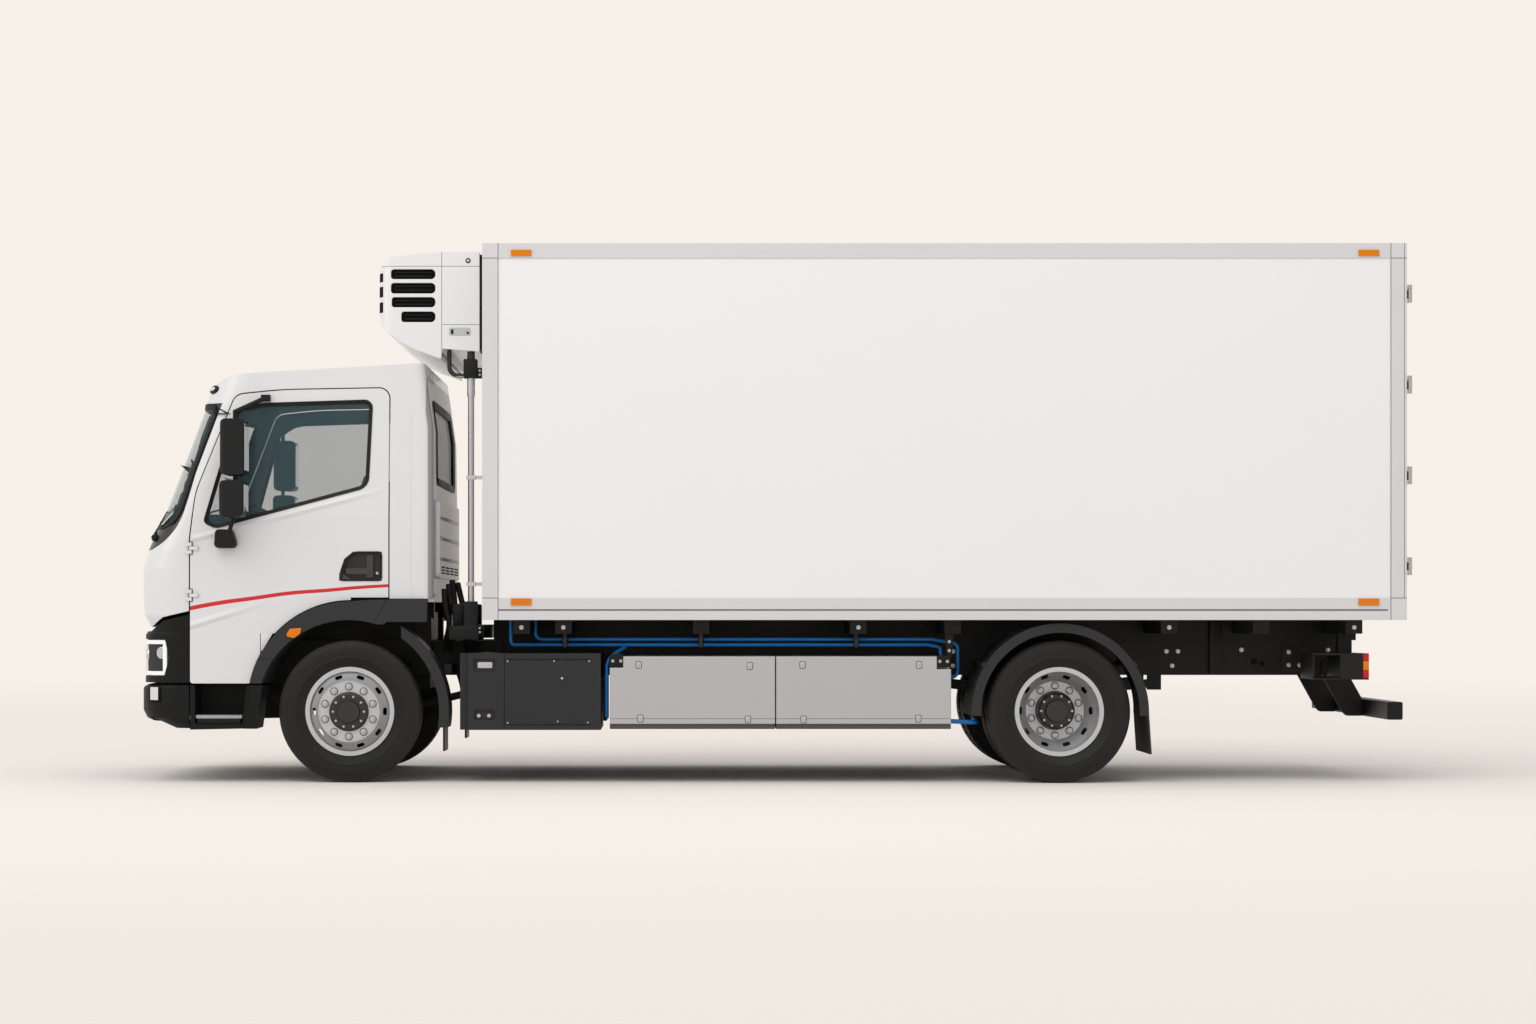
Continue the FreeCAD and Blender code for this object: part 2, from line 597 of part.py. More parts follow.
def wheel_rim():
    """Rim and disc with the convex side towards +Y and the disc's face at DISC_OFFSET."""
    lip, seat_y = RIM_WIDTH / 2, BEAD_WIDTH / 2 + SEAT_GAP
    barrel = turned([(-lip, BARREL_INNER), (-lip, FLANGE_RADIUS), (-seat_y, FLANGE_RADIUS),
                     (-seat_y, RIM_RADIUS), (seat_y, RIM_RADIUS), (seat_y, FLANGE_RADIUS),
                     (lip, FLANGE_RADIUS), (lip, BARREL_INNER)])
    face, back = DISC_OFFSET, DISC_OFFSET - DISC_THICKNESS
    disc = turned([(back, DISC_BORE), (face, DISC_BORE), (face, DISC_FLAT_RADIUS), (lip - 30, BARREL_INNER + 4),
                   (lip - 34 - DISC_THICKNESS, BARREL_INNER + 4), (back, DISC_FLAT_RADIUS - 8)])
    vents = [vent(360 * (k + 0.5) / VENT_COUNT) for k in range(VENT_COUNT)]
    return barrel.fuse(disc.cut(Part.makeCompound(vents)))


def front_wheel():
    face = DISC_OFFSET
    proud = face + HUB_PROUD
    bore = SPINDLE_RADIUS + PIN_FIT
    hub = turned([(-55, bore), (-55, DRUM_RADIUS), (35, DRUM_RADIUS), (45, 112), (face - DISC_THICKNESS, 112),
                  (face - DISC_THICKNESS, 140), (face - 2, 140), (face - 2, HUB_RADIUS), (proud - 8, HUB_RADIUS),
                  (proud, HUB_RADIUS - 12), (proud, HUB_CAP_RADIUS), (proud + 16, HUB_CAP_RADIUS - 6),
                  (proud + 16, 0), (125, 0), (125, bore)])
    return fused([wheel_rim(), hub])


def rear_wheels():
    """Two wheels back to back on one hub."""
    outer = wheel_rim()
    outer.rotate(Vector(0, 0, 0), Vector(1, 0, 0), 180)
    outer.translate(Vector(0, DISC_OFFSET, 0))
    inner = wheel_rim()
    inner.translate(Vector(0, -DISC_OFFSET, 0))
    bore = REAR_SPINDLE + PIN_FIT
    flange = DISC_THICKNESS - 1
    hub = turned([(-205, bore), (-205, DRUM_RADIUS), (-70, DRUM_RADIUS), (-60, 112), (-flange, 112),
                  (-flange, 140), (flange, 140), (flange, HUB_RADIUS), (DISC_OFFSET - 55, HUB_RADIUS - 6),
                  (DISC_OFFSET - 40, HUB_RADIUS - 24), (DISC_OFFSET - 40, HUB_CAP_RADIUS),
                  (DISC_OFFSET - 8, HUB_CAP_RADIUS - 6), (DISC_OFFSET - 8, 0), (100, 0), (100, bore)])
    return fused([outer, inner, hub])


def placed(shape, x, y):
    shape = shape.copy()
    shape.translate(Vector(x, y, AXLE_Z))
    return shape


one_tyre, front_rim, rear_rim = tyre(), front_wheel(), rear_wheels()
for wheel_side, flip in (("right", False), ("left", True)):
    wheel_nodes = {
        "tyre_front": [placed(one_tyre, FRONT_AXLE_X, FRONT_TRACK / 2)],
        "rim_front": [placed(front_rim, FRONT_AXLE_X, FRONT_TRACK / 2)],
        "tyre_rear": [placed(one_tyre, REAR_AXLE_X, REAR_HUB_Y + DUAL_SPACING / 2),
                      placed(one_tyre, REAR_AXLE_X, REAR_HUB_Y - DUAL_SPACING / 2)],
        "rim_rear": [placed(rear_rim, REAR_AXLE_X, REAR_HUB_Y)],
    }
    for node_name, shapes in wheel_nodes.items():
        save(f"{node_name}_{wheel_side}", *[mirrored(s) if flip else s for s in shapes])


# Front bumper on the frame

BUMPER_REAR_X = DOOR_FRONT_X - RUN_GAP
BUMPER_TOP = 652.0
BUMPER_BOTTOM = 364.0
BUMPER_SHEET = 35.0
BUMPER_ROWS = [(BUMPER_BOTTOM, 150, CAB_HALF_WIDTH - 30), (396, 100, CAB_HALF_WIDTH - 10), (432, 26, CAB_HALF_WIDTH),
               (484, 0, CAB_HALF_WIDTH), (628, 0, CAB_HALF_WIDTH), (640, 6, CAB_HALF_WIDTH),
               (BUMPER_TOP, 26, CAB_HALF_WIDTH)]
BUMPER_INNER_ROWS = [(BUMPER_BOTTOM + BUMPER_SHEET, 130, CAB_HALF_WIDTH - 20), (460, 20, CAB_HALF_WIDTH),
                     (BUMPER_TOP + 50, 20, CAB_HALF_WIDTH)]
bumper = nose_form(BUMPER_ROWS, 0).common(block(NOSE_X - 700, BUMPER_REAR_X, -WIDE, WIDE, 0, BUMPER_TOP + 10))
bumper = bumper.cut(nose_form(BUMPER_INNER_ROWS, BUMPER_SHEET))
bumper = bumper.cut(block(TILT_X - 50, BUMPER_REAR_X + 10, 90 - CAB_HALF_WIDTH, CAB_HALF_WIDTH - 90,
                          BUMPER_BOTTOM - 60, TILT_Z + 20))
bumper_bits = [bumper]
for mount_y in (-560, -300, 300, 560):
    mount = block(UNDERRUN_X0 - 60, UNDERRUN_X0 - SEAT_GAP, mount_y - 25, mount_y + 25,
                  UNDERRUN_Z0 + 5, UNDERRUN_Z1 - 5)
    bumper_bits.append(mount.common(nose_form(BUMPER_ROWS, 5)))
save("front_bumper", fused(bumper_bits))


# Steps under the cab doors, hung from the frame

STEP_INNER_Y = 860.0
STEP_BOTTOM = 356.0
STEP_TOP = DOOR_BOTTOM_Z - 12
STEP_ARM_X0 = NOSE_X + 530
STEP_ARM_X1 = NOSE_X + 610
STEP_WALL_Y = TILT_ARM_Y + 60


def right_step():
    step = side_prism(shifted([(405, STEP_BOTTOM), (775, 363), (855, 363), (893, STEP_TOP), (405, STEP_TOP)], NOSE_X),
                      STEP_INNER_Y, CAB_HALF_WIDTH)
    leg = side_prism(shifted([(775, 363), (855, 363), (893, STEP_TOP), (813, STEP_TOP)], NOSE_X),
                     CAB_HALF_WIDTH - 1, ARCH_TRIM_Y)
    well = side_prism(shifted([(437, 392, 20), (755, 392, 20), (789, STEP_TOP + 60), (437, STEP_TOP + 60)], NOSE_X),
                      STEP_INNER_Y + 25, CAB_HALF_WIDTH + 5)
    hanger = [
        block(STEP_ARM_X0, STEP_ARM_X1, STEP_WALL_Y, STEP_INNER_Y + 5, 560, 640),
        block(STEP_ARM_X0, STEP_ARM_X1, STEP_WALL_Y, STEP_WALL_Y + 50, 560, RAIL_TOP + 10),
        block(STEP_ARM_X0, STEP_ARM_X1, RAIL_OUTER_Y - 60, STEP_WALL_Y + 50, RAIL_TOP + SEAT_GAP, RAIL_TOP + 30),
    ]
    return fused([fused([step, leg]).cut(well)] + hanger)


save("step_wells", *both_sides(right_step()))


# Cab floor with its beams and tilt arms

DOOR_OUTLINE = shifted([(405, DOOR_BOTTOM_Z, 20), (875, DOOR_BOTTOM_Z), (875, 1000), (1732, 1000),
                        (1732, DOOR_TOP_Z, 70), (1011, DOOR_TOP_Z - 13, 2500), (700, 2602, 85), (442, 1950, 500),
                        (405, 1640, 300)], NOSE_X)
WINDOW_OUTLINE = shifted([(499, 1745, 30), (575, 1708, 80), (1592, 1982, 85), (1617, 2563, 50),
                          (889, 2540, 200), (716, 2508, 60)], NOSE_X)
SCREEN_OUTLINE = shifted([(-125, 1712), (215, 1705, 60), (290, 1745, 70), (335, 1815, 120), (425, 2100, 900),
                          (585, 2538, 50), (-125, 2538)], NOSE_X)
REAR_WINDOW_OUTLINE = [(-760, 2030, 60), (760, 2030, 60), (760, 2565, 60), (-760, 2565, 60)]
SHELL_BOTTOM = 1042.0
door_skin_y = CAB_HALF_WIDTH - DOOR_SKIN - RUN_GAP
TRIM_ROOM = ARCH_TRIM_TOP + SEAT_GAP
trim_room = block(ARCH_OUTER_X - 120, CAB_REAR_X + 200, -WIDE, SEAT_GAP - ARCH_TRIM_INNER_Y,
                  CAB_BEAM_BOTTOM - 100, TRIM_ROOM)


def tilt_arm(side):
    """Arm from the tilt pin up to a floor beam, with the stay that carries the front panel."""
    a0, a1 = side * TILT_ARM_Y - TILT_ARM_THICKNESS / 2, side * TILT_ARM_Y + TILT_ARM_THICKNESS / 2
    arm = side_prism([(TILT_X - 20, TILT_Z - TILT_BOSS_RADIUS), (TILT_X + 60, TILT_Z - TILT_BOSS_RADIUS + 10),
                      (TILT_X + 330, TILT_Z + 190), (TILT_X + 330, CAB_BEAM_BOTTOM + 20),
                      (TILT_X + 180, CAB_BEAM_BOTTOM + 20), (TILT_X + 220, TILT_Z + 250),
                      (TILT_X, TILT_Z + TILT_BOSS_RADIUS)], a0, a1)
    boss = rod(TILT_BOSS_RADIUS, (TILT_X, a0, TILT_Z), (TILT_X, a1, TILT_Z))
    stay = block(NOSE_X + 100, TILT_X + 200, a0, a1, 900, SHELL_BOTTOM - 7)
    stay_head = block(NOSE_X + 190, TILT_X + 200, a0, a1, 900, CAB_BEAM_BOTTOM + 60)
    bore = rod(TILT_PIN_RADIUS + PIN_FIT, (TILT_X, a0 - 1, TILT_Z), (TILT_X, a1 + 1, TILT_Z))
    return fused([arm, boss, stay, stay_head]).cut(bore)


floor_form = cab_form(CAB_WALL + SEAT_GAP)
floor = floor_form.common(block(NOSE_X - 100, CAB_REAR_X + 100, -WIDE, WIDE, FLOOR_BOTTOM, CAB_FLOOR_Z))
door_side = side_prism(DOOR_OUTLINE, -WIDE, -door_skin_y, RUN_GAP)
floor = floor.cut(door_side).cut(mirrored(door_side)).cut(trim_room).cut(mirrored(trim_room))
floor_bits = [floor]
for arm_side in (-1, 1):
    beam_y = arm_side * TILT_ARM_Y
    floor_bits.append(block(NOSE_X + 315, CAB_REAR_X - CAB_WALL - 1, beam_y - CAB_BEAM_WIDTH / 2,
                            beam_y + CAB_BEAM_WIDTH / 2, CAB_BEAM_BOTTOM, FLOOR_BOTTOM + 5))
    floor_bits.append(tilt_arm(arm_side))
save("cab_floor", fused(floor_bits))


# Hinges of the cab doors

DOOR_HINGE_X = DOOR_FRONT_X + 4
DOOR_HINGE_Y = CAB_HALF_WIDTH + 3
DOOR_BARREL = 10.0
DOOR_PIN = 5.0
DOOR_HINGE_HEIGHTS = (1255.0, 1570.0)
DOOR_KNUCKLE_HALF = 11.0
DOOR_LUG_NEAR = 14.0
DOOR_LUG_FAR = 38.0


def left_hinge_lugs(z):
    x, y = DOOR_HINGE_X, -DOOR_HINGE_Y
    lugs = [rod(DOOR_PIN, (x, y, z - DOOR_LUG_FAR + 2), (x, y, z + DOOR_LUG_FAR - 2))]
    for z0, z1 in ((z - DOOR_LUG_FAR, z - DOOR_LUG_NEAR), (z + DOOR_LUG_NEAR, z + DOOR_LUG_FAR)):
        lugs.append(rod(DOOR_BARREL, (x, y, z0), (x, y, z1)))
        lugs.append(block(x - 32, x, y - DOOR_BARREL, y + 2, z0, z1))
        lugs.append(block(x - 32, DOOR_FRONT_X - RUN_GAP - 1, y - DOOR_BARREL, y + 15, z0, z1))
    return lugs


def left_hinge_room(z, half):
    x, y = DOOR_HINGE_X, -DOOR_HINGE_Y
    return rod(DOOR_BARREL + 6, (x, y, z - half), (x, y, z + half))


def left_hinge_knuckle(z):
    x, y = DOOR_HINGE_X, -DOOR_HINGE_Y
    body = fused([rod(DOOR_BARREL, (x, y, z - DOOR_KNUCKLE_HALF), (x, y, z + DOOR_KNUCKLE_HALF)),
                  block(x, x + 50, y - DOOR_BARREL, y + 8, z - DOOR_KNUCKLE_HALF, z + DOOR_KNUCKLE_HALF)])
    return body.cut(rod(DOOR_PIN + PIN_FIT, (x, y, z - 20), (x, y, z + 20)))


# Cab shell: front, pillars, roof and rear wall

REAR_PANEL_Y = 900.0
REAR_PANEL_PROUD = 26.0
form = cab_form(0)
lower_edge = side_prism([(NOSE_X - 125, SHELL_BOTTOM), (NOSE_X + 123, SHELL_BOTTOM), (NOSE_X + 217, 1109),
                         (BUMPER_REAR_X, 1150), (BUMPER_REAR_X, 1300), (NOSE_X - 125, 1300)], -WIDE, WIDE)
above_floor = block(NOSE_X - 125, CAB_REAR_X + 245, -WIDE, WIDE, FLOOR_BOTTOM, 3000)
shell = form.cut(cab_form(CAB_WALL)).common(lower_edge.fuse(above_floor))
door_room = side_prism(DOOR_OUTLINE, -WIDE, -900, RUN_GAP)
shell = shell.cut(door_room).cut(mirrored(door_room)).cut(trim_room).cut(mirrored(trim_room))
shell = shell.cut(side_prism(SCREEN_OUTLINE, -WIDE, WIDE))
shell = shell.cut(front_prism(REAR_WINDOW_OUTLINE, CAB_REAR_X - 255, CAB_REAR_X + 245))
rear_panel = front_prism([(-REAR_PANEL_Y, 1372, 40), (REAR_PANEL_Y, 1372, 40), (REAR_PANEL_Y, 1900, 40),
                          (-REAR_PANEL_Y, 1900, 40)], CAB_REAR_X - 20, CAB_REAR_X + REAR_PANEL_PROUD)
shell = fused([shell, rear_panel])
for hinge_z in DOOR_HINGE_HEIGHTS:
    cab_room = left_hinge_room(hinge_z, DOOR_LUG_NEAR)
    shell = shell.cut(cab_room).cut(mirrored(cab_room))
shell_bits = [shell]
for hinge_z in DOOR_HINGE_HEIGHTS:
    for lug in left_hinge_lugs(hinge_z):
        shell_bits += both_sides(lug)
save("cab_shell", fused(shell_bits))

glass_skin = cab_form(GLASS_INSET).cut(cab_form(GLASS_INSET + GLASS_THICKNESS))
windscreen = glass_skin.common(side_prism(SCREEN_OUTLINE, -WIDE, WIDE, -SEAT_GAP))
back_glass = glass_skin.common(front_prism(REAR_WINDOW_OUTLINE, CAB_REAR_X - 255, CAB_REAR_X + 245, -SEAT_GAP))
save("cab_glass", windscreen, back_glass)


# Cab doors

HANDLE_X0 = DOOR_REAR_X - 325
HANDLE_X1 = DOOR_REAR_X - 47
HANDLE_Z0 = 1354.0
HANDLE_Z1 = 1545.0
HANDLE_DEPTH = 26.0
HANDLE_PROUD = 6.0


def handle_pocket():
    return side_prism([(HANDLE_X0, HANDLE_Z0 + 60, 40), (HANDLE_X0 + 90, HANDLE_Z0, 40), (HANDLE_X1, HANDLE_Z0, 45),
                       (HANDLE_X1, HANDLE_Z1, 45), (HANDLE_X0, HANDLE_Z1, 40)], -WIDE, HANDLE_DEPTH - CAB_HALF_WIDTH)


def handle_lever():
    """Upright grip in the pocket with a lever that reaches forward from it."""
    grip_x = HANDLE_X1 - 98
    grip_z0, grip_z1 = HANDLE_Z0 + 18, HANDLE_Z1 - 20
    grip = side_prism([(grip_x, grip_z0, 10), (grip_x + 44, grip_z0, 10), (grip_x + 44, grip_z1, 10),
                       (grip_x, grip_z1, 10)], -CAB_HALF_WIDTH, HANDLE_DEPTH + 1 - CAB_HALF_WIDTH)
    lever = side_prism([(HANDLE_X0 + 46, HANDLE_Z0 + 42, 12), (grip_x + 20, HANDLE_Z0 + 42),
                        (grip_x + 20, HANDLE_Z0 + 82), (HANDLE_X0 + 36, HANDLE_Z0 + 82, 12)],
                       -CAB_HALF_WIDTH - HANDLE_PROUD, 12 - CAB_HALF_WIDTH)
    return [grip, lever]


arch_cut = rod(ARCH_OUTER_RADIUS, (ARCH_OUTER_X, -WIDE, ARCH_OUTER_Z), (ARCH_OUTER_X, WIDE, ARCH_OUTER_Z))
sill_cut = block(ARCH_OUTER_X, DOOR_REAR_X + 200, -WIDE, WIDE, 600, ARCH_TRIM_TOP + RUN_GAP)
door = form.cut(cab_form(DOOR_SKIN)).common(side_prism(DOOR_OUTLINE, -WIDE, -900))
door = door.cut(arch_cut).cut(sill_cut).cut(side_prism(WINDOW_OUTLINE, -WIDE, -900)).cut(handle_pocket())
for hinge_z in DOOR_HINGE_HEIGHTS:
    door = door.cut(left_hinge_room(hinge_z, DOOR_LUG_FAR + 6))
save_pair("door", fused([door] + handle_lever() + [left_hinge_knuckle(z) for z in DOOR_HINGE_HEIGHTS]))
save_pair("door_glass", glass_skin.common(side_prism(WINDOW_OUTLINE, -WIDE, -900, -SEAT_GAP)))


# Mirrors on the doors

MIRROR_Y0 = -CAB_HALF_WIDTH - 275
MIRROR_Y1 = -CAB_HALF_WIDTH - 55
MIRROR_POLE_X = NOSE_X + 715
MIRROR_POLE_Y = -CAB_HALF_WIDTH - 65
MIRROR_FOOT_Z = 1640.0
MIRROR_PAD_Z = 2570.0


def mirror_head(x0, x1, z0, z1):
    head = plan_prism([(x0, MIRROR_Y0, 40), (x1, MIRROR_Y0, 20), (x1, MIRROR_Y1, 20), (x0, MIRROR_Y1, 40)], z0, z1)
    return head.common(side_prism([(x0, z0, 40), (x1, z0, 40), (x1, z1, 40), (x0, z1, 40)], -1500, -1000))


def left_mirror():
    x, y, foot_z = MIRROR_POLE_X, MIRROR_POLE_Y, MIRROR_FOOT_Z
    foot = side_prism(shifted([(575, foot_z - 70, 30), (735, foot_z - 70, 30), (695, foot_z + 55, 25),
                               (585, foot_z + 55, 25)], NOSE_X), y - 10, -skin_y(foot_z) - SEAT_GAP - 4)
    pad_foot = block(x - 120, x - 10, -skin_y(foot_z) - 10, -CAB_HALF_WIDTH - SEAT_GAP, foot_z - 50, foot_z + 20)
    pad_x = x + 170
    pad_y = -skin_y(MIRROR_PAD_Z)
    return fused([
        foot,
        pad_foot,
        mirror_head(x - 74, x + 92, 2050, 2422),
        mirror_head(x - 80, x + 88, 1772, 2014),
        rod(14, (x - 50, y, foot_z), (x, y, 1800)),
        rod(14, (x, y, 1790), (x, y, 2490)),
        rod(16, (x, y, 2478), (pad_x, pad_y - 30, MIRROR_PAD_Z)),
        rod(16, (pad_x, pad_y - 30, MIRROR_PAD_Z), (pad_x + 40, pad_y - 22, MIRROR_PAD_Z + 2)),
        block(pad_x - 10, pad_x + 50, pad_y - 40, -skin_y(MIRROR_PAD_Z - 15) - SEAT_GAP,
              MIRROR_PAD_Z - 14, MIRROR_PAD_Z + 30),
    ])


save_pair("mirror", left_mirror())


# Black front panel and headlamps on the cab

PANEL_SHEET = 35.0
PANEL_ROWS = [(670, 14, CAB_HALF_WIDTH), (712, 14, CAB_HALF_WIDTH), (867, 11, CAB_HALF_WIDTH),
              (990, 16, CAB_HALF_WIDTH), (1012, 30, CAB_HALF_WIDTH), (1160, 34, CAB_HALF_WIDTH)]
PANEL_INNER_ROWS = [(660, 3, CAB_HALF_WIDTH), (690, 3, CAB_HALF_WIDTH), (730, 12, CAB_HALF_WIDTH)] + PANEL_ROWS[2:]
PANEL_EDGE = shifted([(-125, 600), (397, 600), (397, 1126), (217, 1085), (123, 1012), (-125, 1012)], NOSE_X)
LAMP_OUTLINE = shifted([(-125, 712), (227, 712, 20), (263, 835, 60), (233, 962, 20), (-125, 962)], NOSE_X)
LAMP_INNER_Y = 700.0
LAMP_DEPTH = 22.0

panel_form = nose_form(PANEL_ROWS, 0)
panel = panel_form.cut(nose_form(PANEL_INNER_ROWS, PANEL_SHEET)).common(side_prism(PANEL_EDGE, -WIDE, WIDE))
lamp_room = panel_form.cut(nose_form(PANEL_ROWS, LAMP_DEPTH + SEAT_GAP))
lamp_room = lamp_room.common(side_prism(LAMP_OUTLINE, -WIDE, -LAMP_INNER_Y))
panel = panel.cut(lamp_room).cut(mirrored(lamp_room))
panel_bits = [panel]
for stay_y in (-TILT_ARM_Y, TILT_ARM_Y):
    stay_pad = block(NOSE_X + 30, NOSE_X + 100 - SEAT_GAP, stay_y - 15, stay_y + 15, 905, 1000)
    panel_bits.append(stay_pad.common(nose_form(PANEL_ROWS, 5)))
save("front_panel", fused(panel_bits))
lamp = panel_form.cut(nose_form(PANEL_ROWS, LAMP_DEPTH))
lamp = lamp.common(side_prism(LAMP_OUTLINE, 1 - WIDE, -LAMP_INNER_Y - SEAT_GAP, -SEAT_GAP))
save("head_lamps", *both_sides(lamp))


# Wheel-arch trims of the cab

def left_arch_trim():
    inner, outer = -ARCH_TRIM_INNER_Y, -ARCH_TRIM_Y
    crown = ARCH_OUTER_Z + ARCH_OUTER_RADIUS - RUN_GAP
    front = rod(ARCH_OUTER_RADIUS - RUN_GAP, (ARCH_OUTER_X, outer, ARCH_OUTER_Z), (ARCH_OUTER_X, inner, ARCH_OUTER_Z))
    front = front.common(block(NOSE_X + 275, ARCH_OUTER_X, -WIDE, -1000, DOOR_BOTTOM_Z, 1400))
    rear = side_prism([(ARCH_OUTER_X - 1, 1060), (CAB_REAR_X - 325, 1060), (CAB_REAR_X - 309, 1076),
                       (CAB_REAR_X - 43, 1076), (CAB_REAR_X - 43, ARCH_TRIM_TOP, 20), (ARCH_OUTER_X + 120, 1224),
                       (ARCH_OUTER_X - 1, crown)], outer, inner)
    liner = rod(ARCH_RADIUS + 12, (FRONT_AXLE_X, inner - 1, AXLE_Z), (FRONT_AXLE_X, -TILT_ARM_Y - 45, AXLE_Z))
    keep_front = block(NOSE_X + 275, FRONT_AXLE_X, -WIDE, 0, DOOR_BOTTOM_Z, 1400)
    keep_rear = block(FRONT_AXLE_X - 1, CAB_REAR_X + 245, -WIDE, 0, 1060, 1400)
    web = block(FRONT_AXLE_X - 90, FRONT_AXLE_X + 90, -1000, -700, AXLE_Z + ARCH_RADIUS + 2, FLOOR_BOTTOM - SEAT_GAP)
    wheel_room = rod(ARCH_RADIUS, (FRONT_AXLE_X, -WIDE, AXLE_Z), (FRONT_AXLE_X, 0, AXLE_Z))
    return fused([front, rear, liner.common(keep_front.fuse(keep_rear)), web]).cut(wheel_room)


save("cab_arch_trims", *both_sides(left_arch_trim()))


# Inside the cab

DRIVER_Y = -560.0
SEAT_HALF = 250.0
STEERING_RADIUS = 215.0
STEERING_CENTRE = Vector(NOSE_X + 775, DRIVER_Y, 1850)
STEERING_LEAN = Vector(0.5, 0, 1).normalize()
floor_z = CAB_FLOOR_Z + SEAT_GAP

dash = side_prism(shifted([(155, floor_z), (395, floor_z), (415, 1520, 60), (705, 1660, 40), (685, 1800, 60),
                           (425, 1800, 80), (255, 1760, 40), (155, 1600)], NOSE_X), -1030, 1030)
dash = dash.common(cab_form(CAB_WALL + SEAT_GAP)).removeSplitter()
save("dashboard", dash)


def seat(y):
    y0, y1 = y - SEAT_HALF, y + SEAT_HALF
    base = block(NOSE_X + 945, NOSE_X + 1375, y - 200, y + 200, floor_z, 1475)
    cushion = side_prism(shifted([(885, 1470, 30), (1435, 1450, 30), (1435, 1580, 30), (885, 1610, 50)], NOSE_X),
                         y0, y1)
    back = side_prism(shifted([(1375, 1500, 30), (1485, 1470, 30), (1655, 2120, 50), (1535, 2140, 50)], NOSE_X),
                      y0, y1)
    head = side_prism(shifted([(1585, 2100, 20), (1645, 2085, 20), (1685, 2270, 30), (1605, 2290, 30)], NOSE_X),
                      y - 130, y + 130)
    return fused([base, cushion, back, head])


save("seats", seat(DRIVER_Y), seat(-DRIVER_Y))


def steering_wheel():
    centre, lean = STEERING_CENTRE, STEERING_LEAN
    hub_end, column_end = centre - lean * 30, centre - lean * 390
    bits = [Part.makeTorus(STEERING_RADIUS, 15, centre, lean), rod(55, tuple(hub_end), tuple(centre)),
            rod(28, tuple(column_end), tuple(hub_end + lean * 5))]
    for turn in (90, 210, 330):
        spoke = Part.makeCylinder(11, STEERING_RADIUS - 3, centre - lean * 12, Vector(0, 0, 1).cross(lean))
        spoke.rotate(centre, lean, turn)
        bits.append(spoke)
    lifted = dash.copy()
    lifted.translate(lean * SEAT_GAP)
    clear = fused(bits).cut(dash.fuse(lifted))
    return max(clear.Solids, key=lambda s: s.Volume)


save("steering_wheel", steering_wheel())


# Insulated body

HALF = BOX_WIDTH / 2
SHEET_IN = PROFILE_SHEET + SEAT_GAP
FRAME_X = BOX_REAR_X - CORNER_PROFILE
WALL_OUT = HALF - SHEET_IN
WALL_IN = WALL_OUT - SIDE_WALL
FLOOR_TOP = BOX_BOTTOM + FLOOR_THICKNESS
ROOF_BOTTOM = BOX_TOP - PROFILE_SHEET - ROOF_THICKNESS
wall_x0, wall_x1 = BOX_FRONT_X + SHEET_IN, FRAME_X - SEAT_GAP
inner_x = wall_x0 + FRONT_WALL
lining_y = WALL_IN - SEAT_GAP
save("box_floor", block(inner_x + SEAT_GAP, wall_x1, -lining_y, lining_y, BOX_BOTTOM, FLOOR_TOP))
save_pair("box_wall", block(wall_x0, wall_x1, -WALL_OUT, -WALL_IN, BOX_BOTTOM, ROOF_BOTTOM - SEAT_GAP))
save("box_wall_front", block(wall_x0, inner_x, -lining_y, lining_y, BOX_BOTTOM, ROOF_BOTTOM - SEAT_GAP))
save("box_roof", block(wall_x0, wall_x1, -WALL_OUT, WALL_OUT, ROOF_BOTTOM, BOX_TOP - SHEET_IN))

GROOVE_Z0 = BOX_BOTTOM + 60
GROOVE_Z1 = BOX_BOTTOM + 72
GROOVE_DEPTH = 2.5


def left_profiles():
    """Angle strips along the left edges of the body."""
    sheet, corner = PROFILE_SHEET, CORNER_PROFILE
    strips = fused([
        block(BOX_FRONT_X, wall_x1, -HALF, sheet - HALF, BOX_BOTTOM, BOX_BOTTOM + BOTTOM_RAIL),
        block(BOX_FRONT_X, wall_x1, -HALF, sheet - HALF, BOX_TOP - TOP_RAIL, BOX_TOP),
        block(BOX_FRONT_X, wall_x1, -HALF, corner - HALF, BOX_TOP - sheet, BOX_TOP),
        block(BOX_FRONT_X, BOX_FRONT_X + corner, -HALF, sheet - HALF, BOX_BOTTOM, BOX_TOP),
        block(BOX_FRONT_X, BOX_FRONT_X + sheet, -HALF, corner - HALF, BOX_BOTTOM, BOX_TOP),
    ])
    return strips.cut(block(BOX_FRONT_X + corner, wall_x1 - 20, -HALF - 1, GROOVE_DEPTH - HALF, GROOVE_Z0, GROOVE_Z1))


front_strips = [
    block(BOX_FRONT_X, BOX_FRONT_X + PROFILE_SHEET, -HALF, HALF, BOX_BOTTOM, BOX_BOTTOM + BOTTOM_RAIL),
    block(BOX_FRONT_X, BOX_FRONT_X + PROFILE_SHEET, -HALF, HALF, BOX_TOP - TOP_RAIL, BOX_TOP),
    block(BOX_FRONT_X, BOX_FRONT_X + CORNER_PROFILE, -HALF, HALF, BOX_TOP - PROFILE_SHEET, BOX_TOP),
]
save("box_edge_profiles", fused(both_sides(left_profiles()) + front_strips))


# Rear frame, rear doors and their hinges

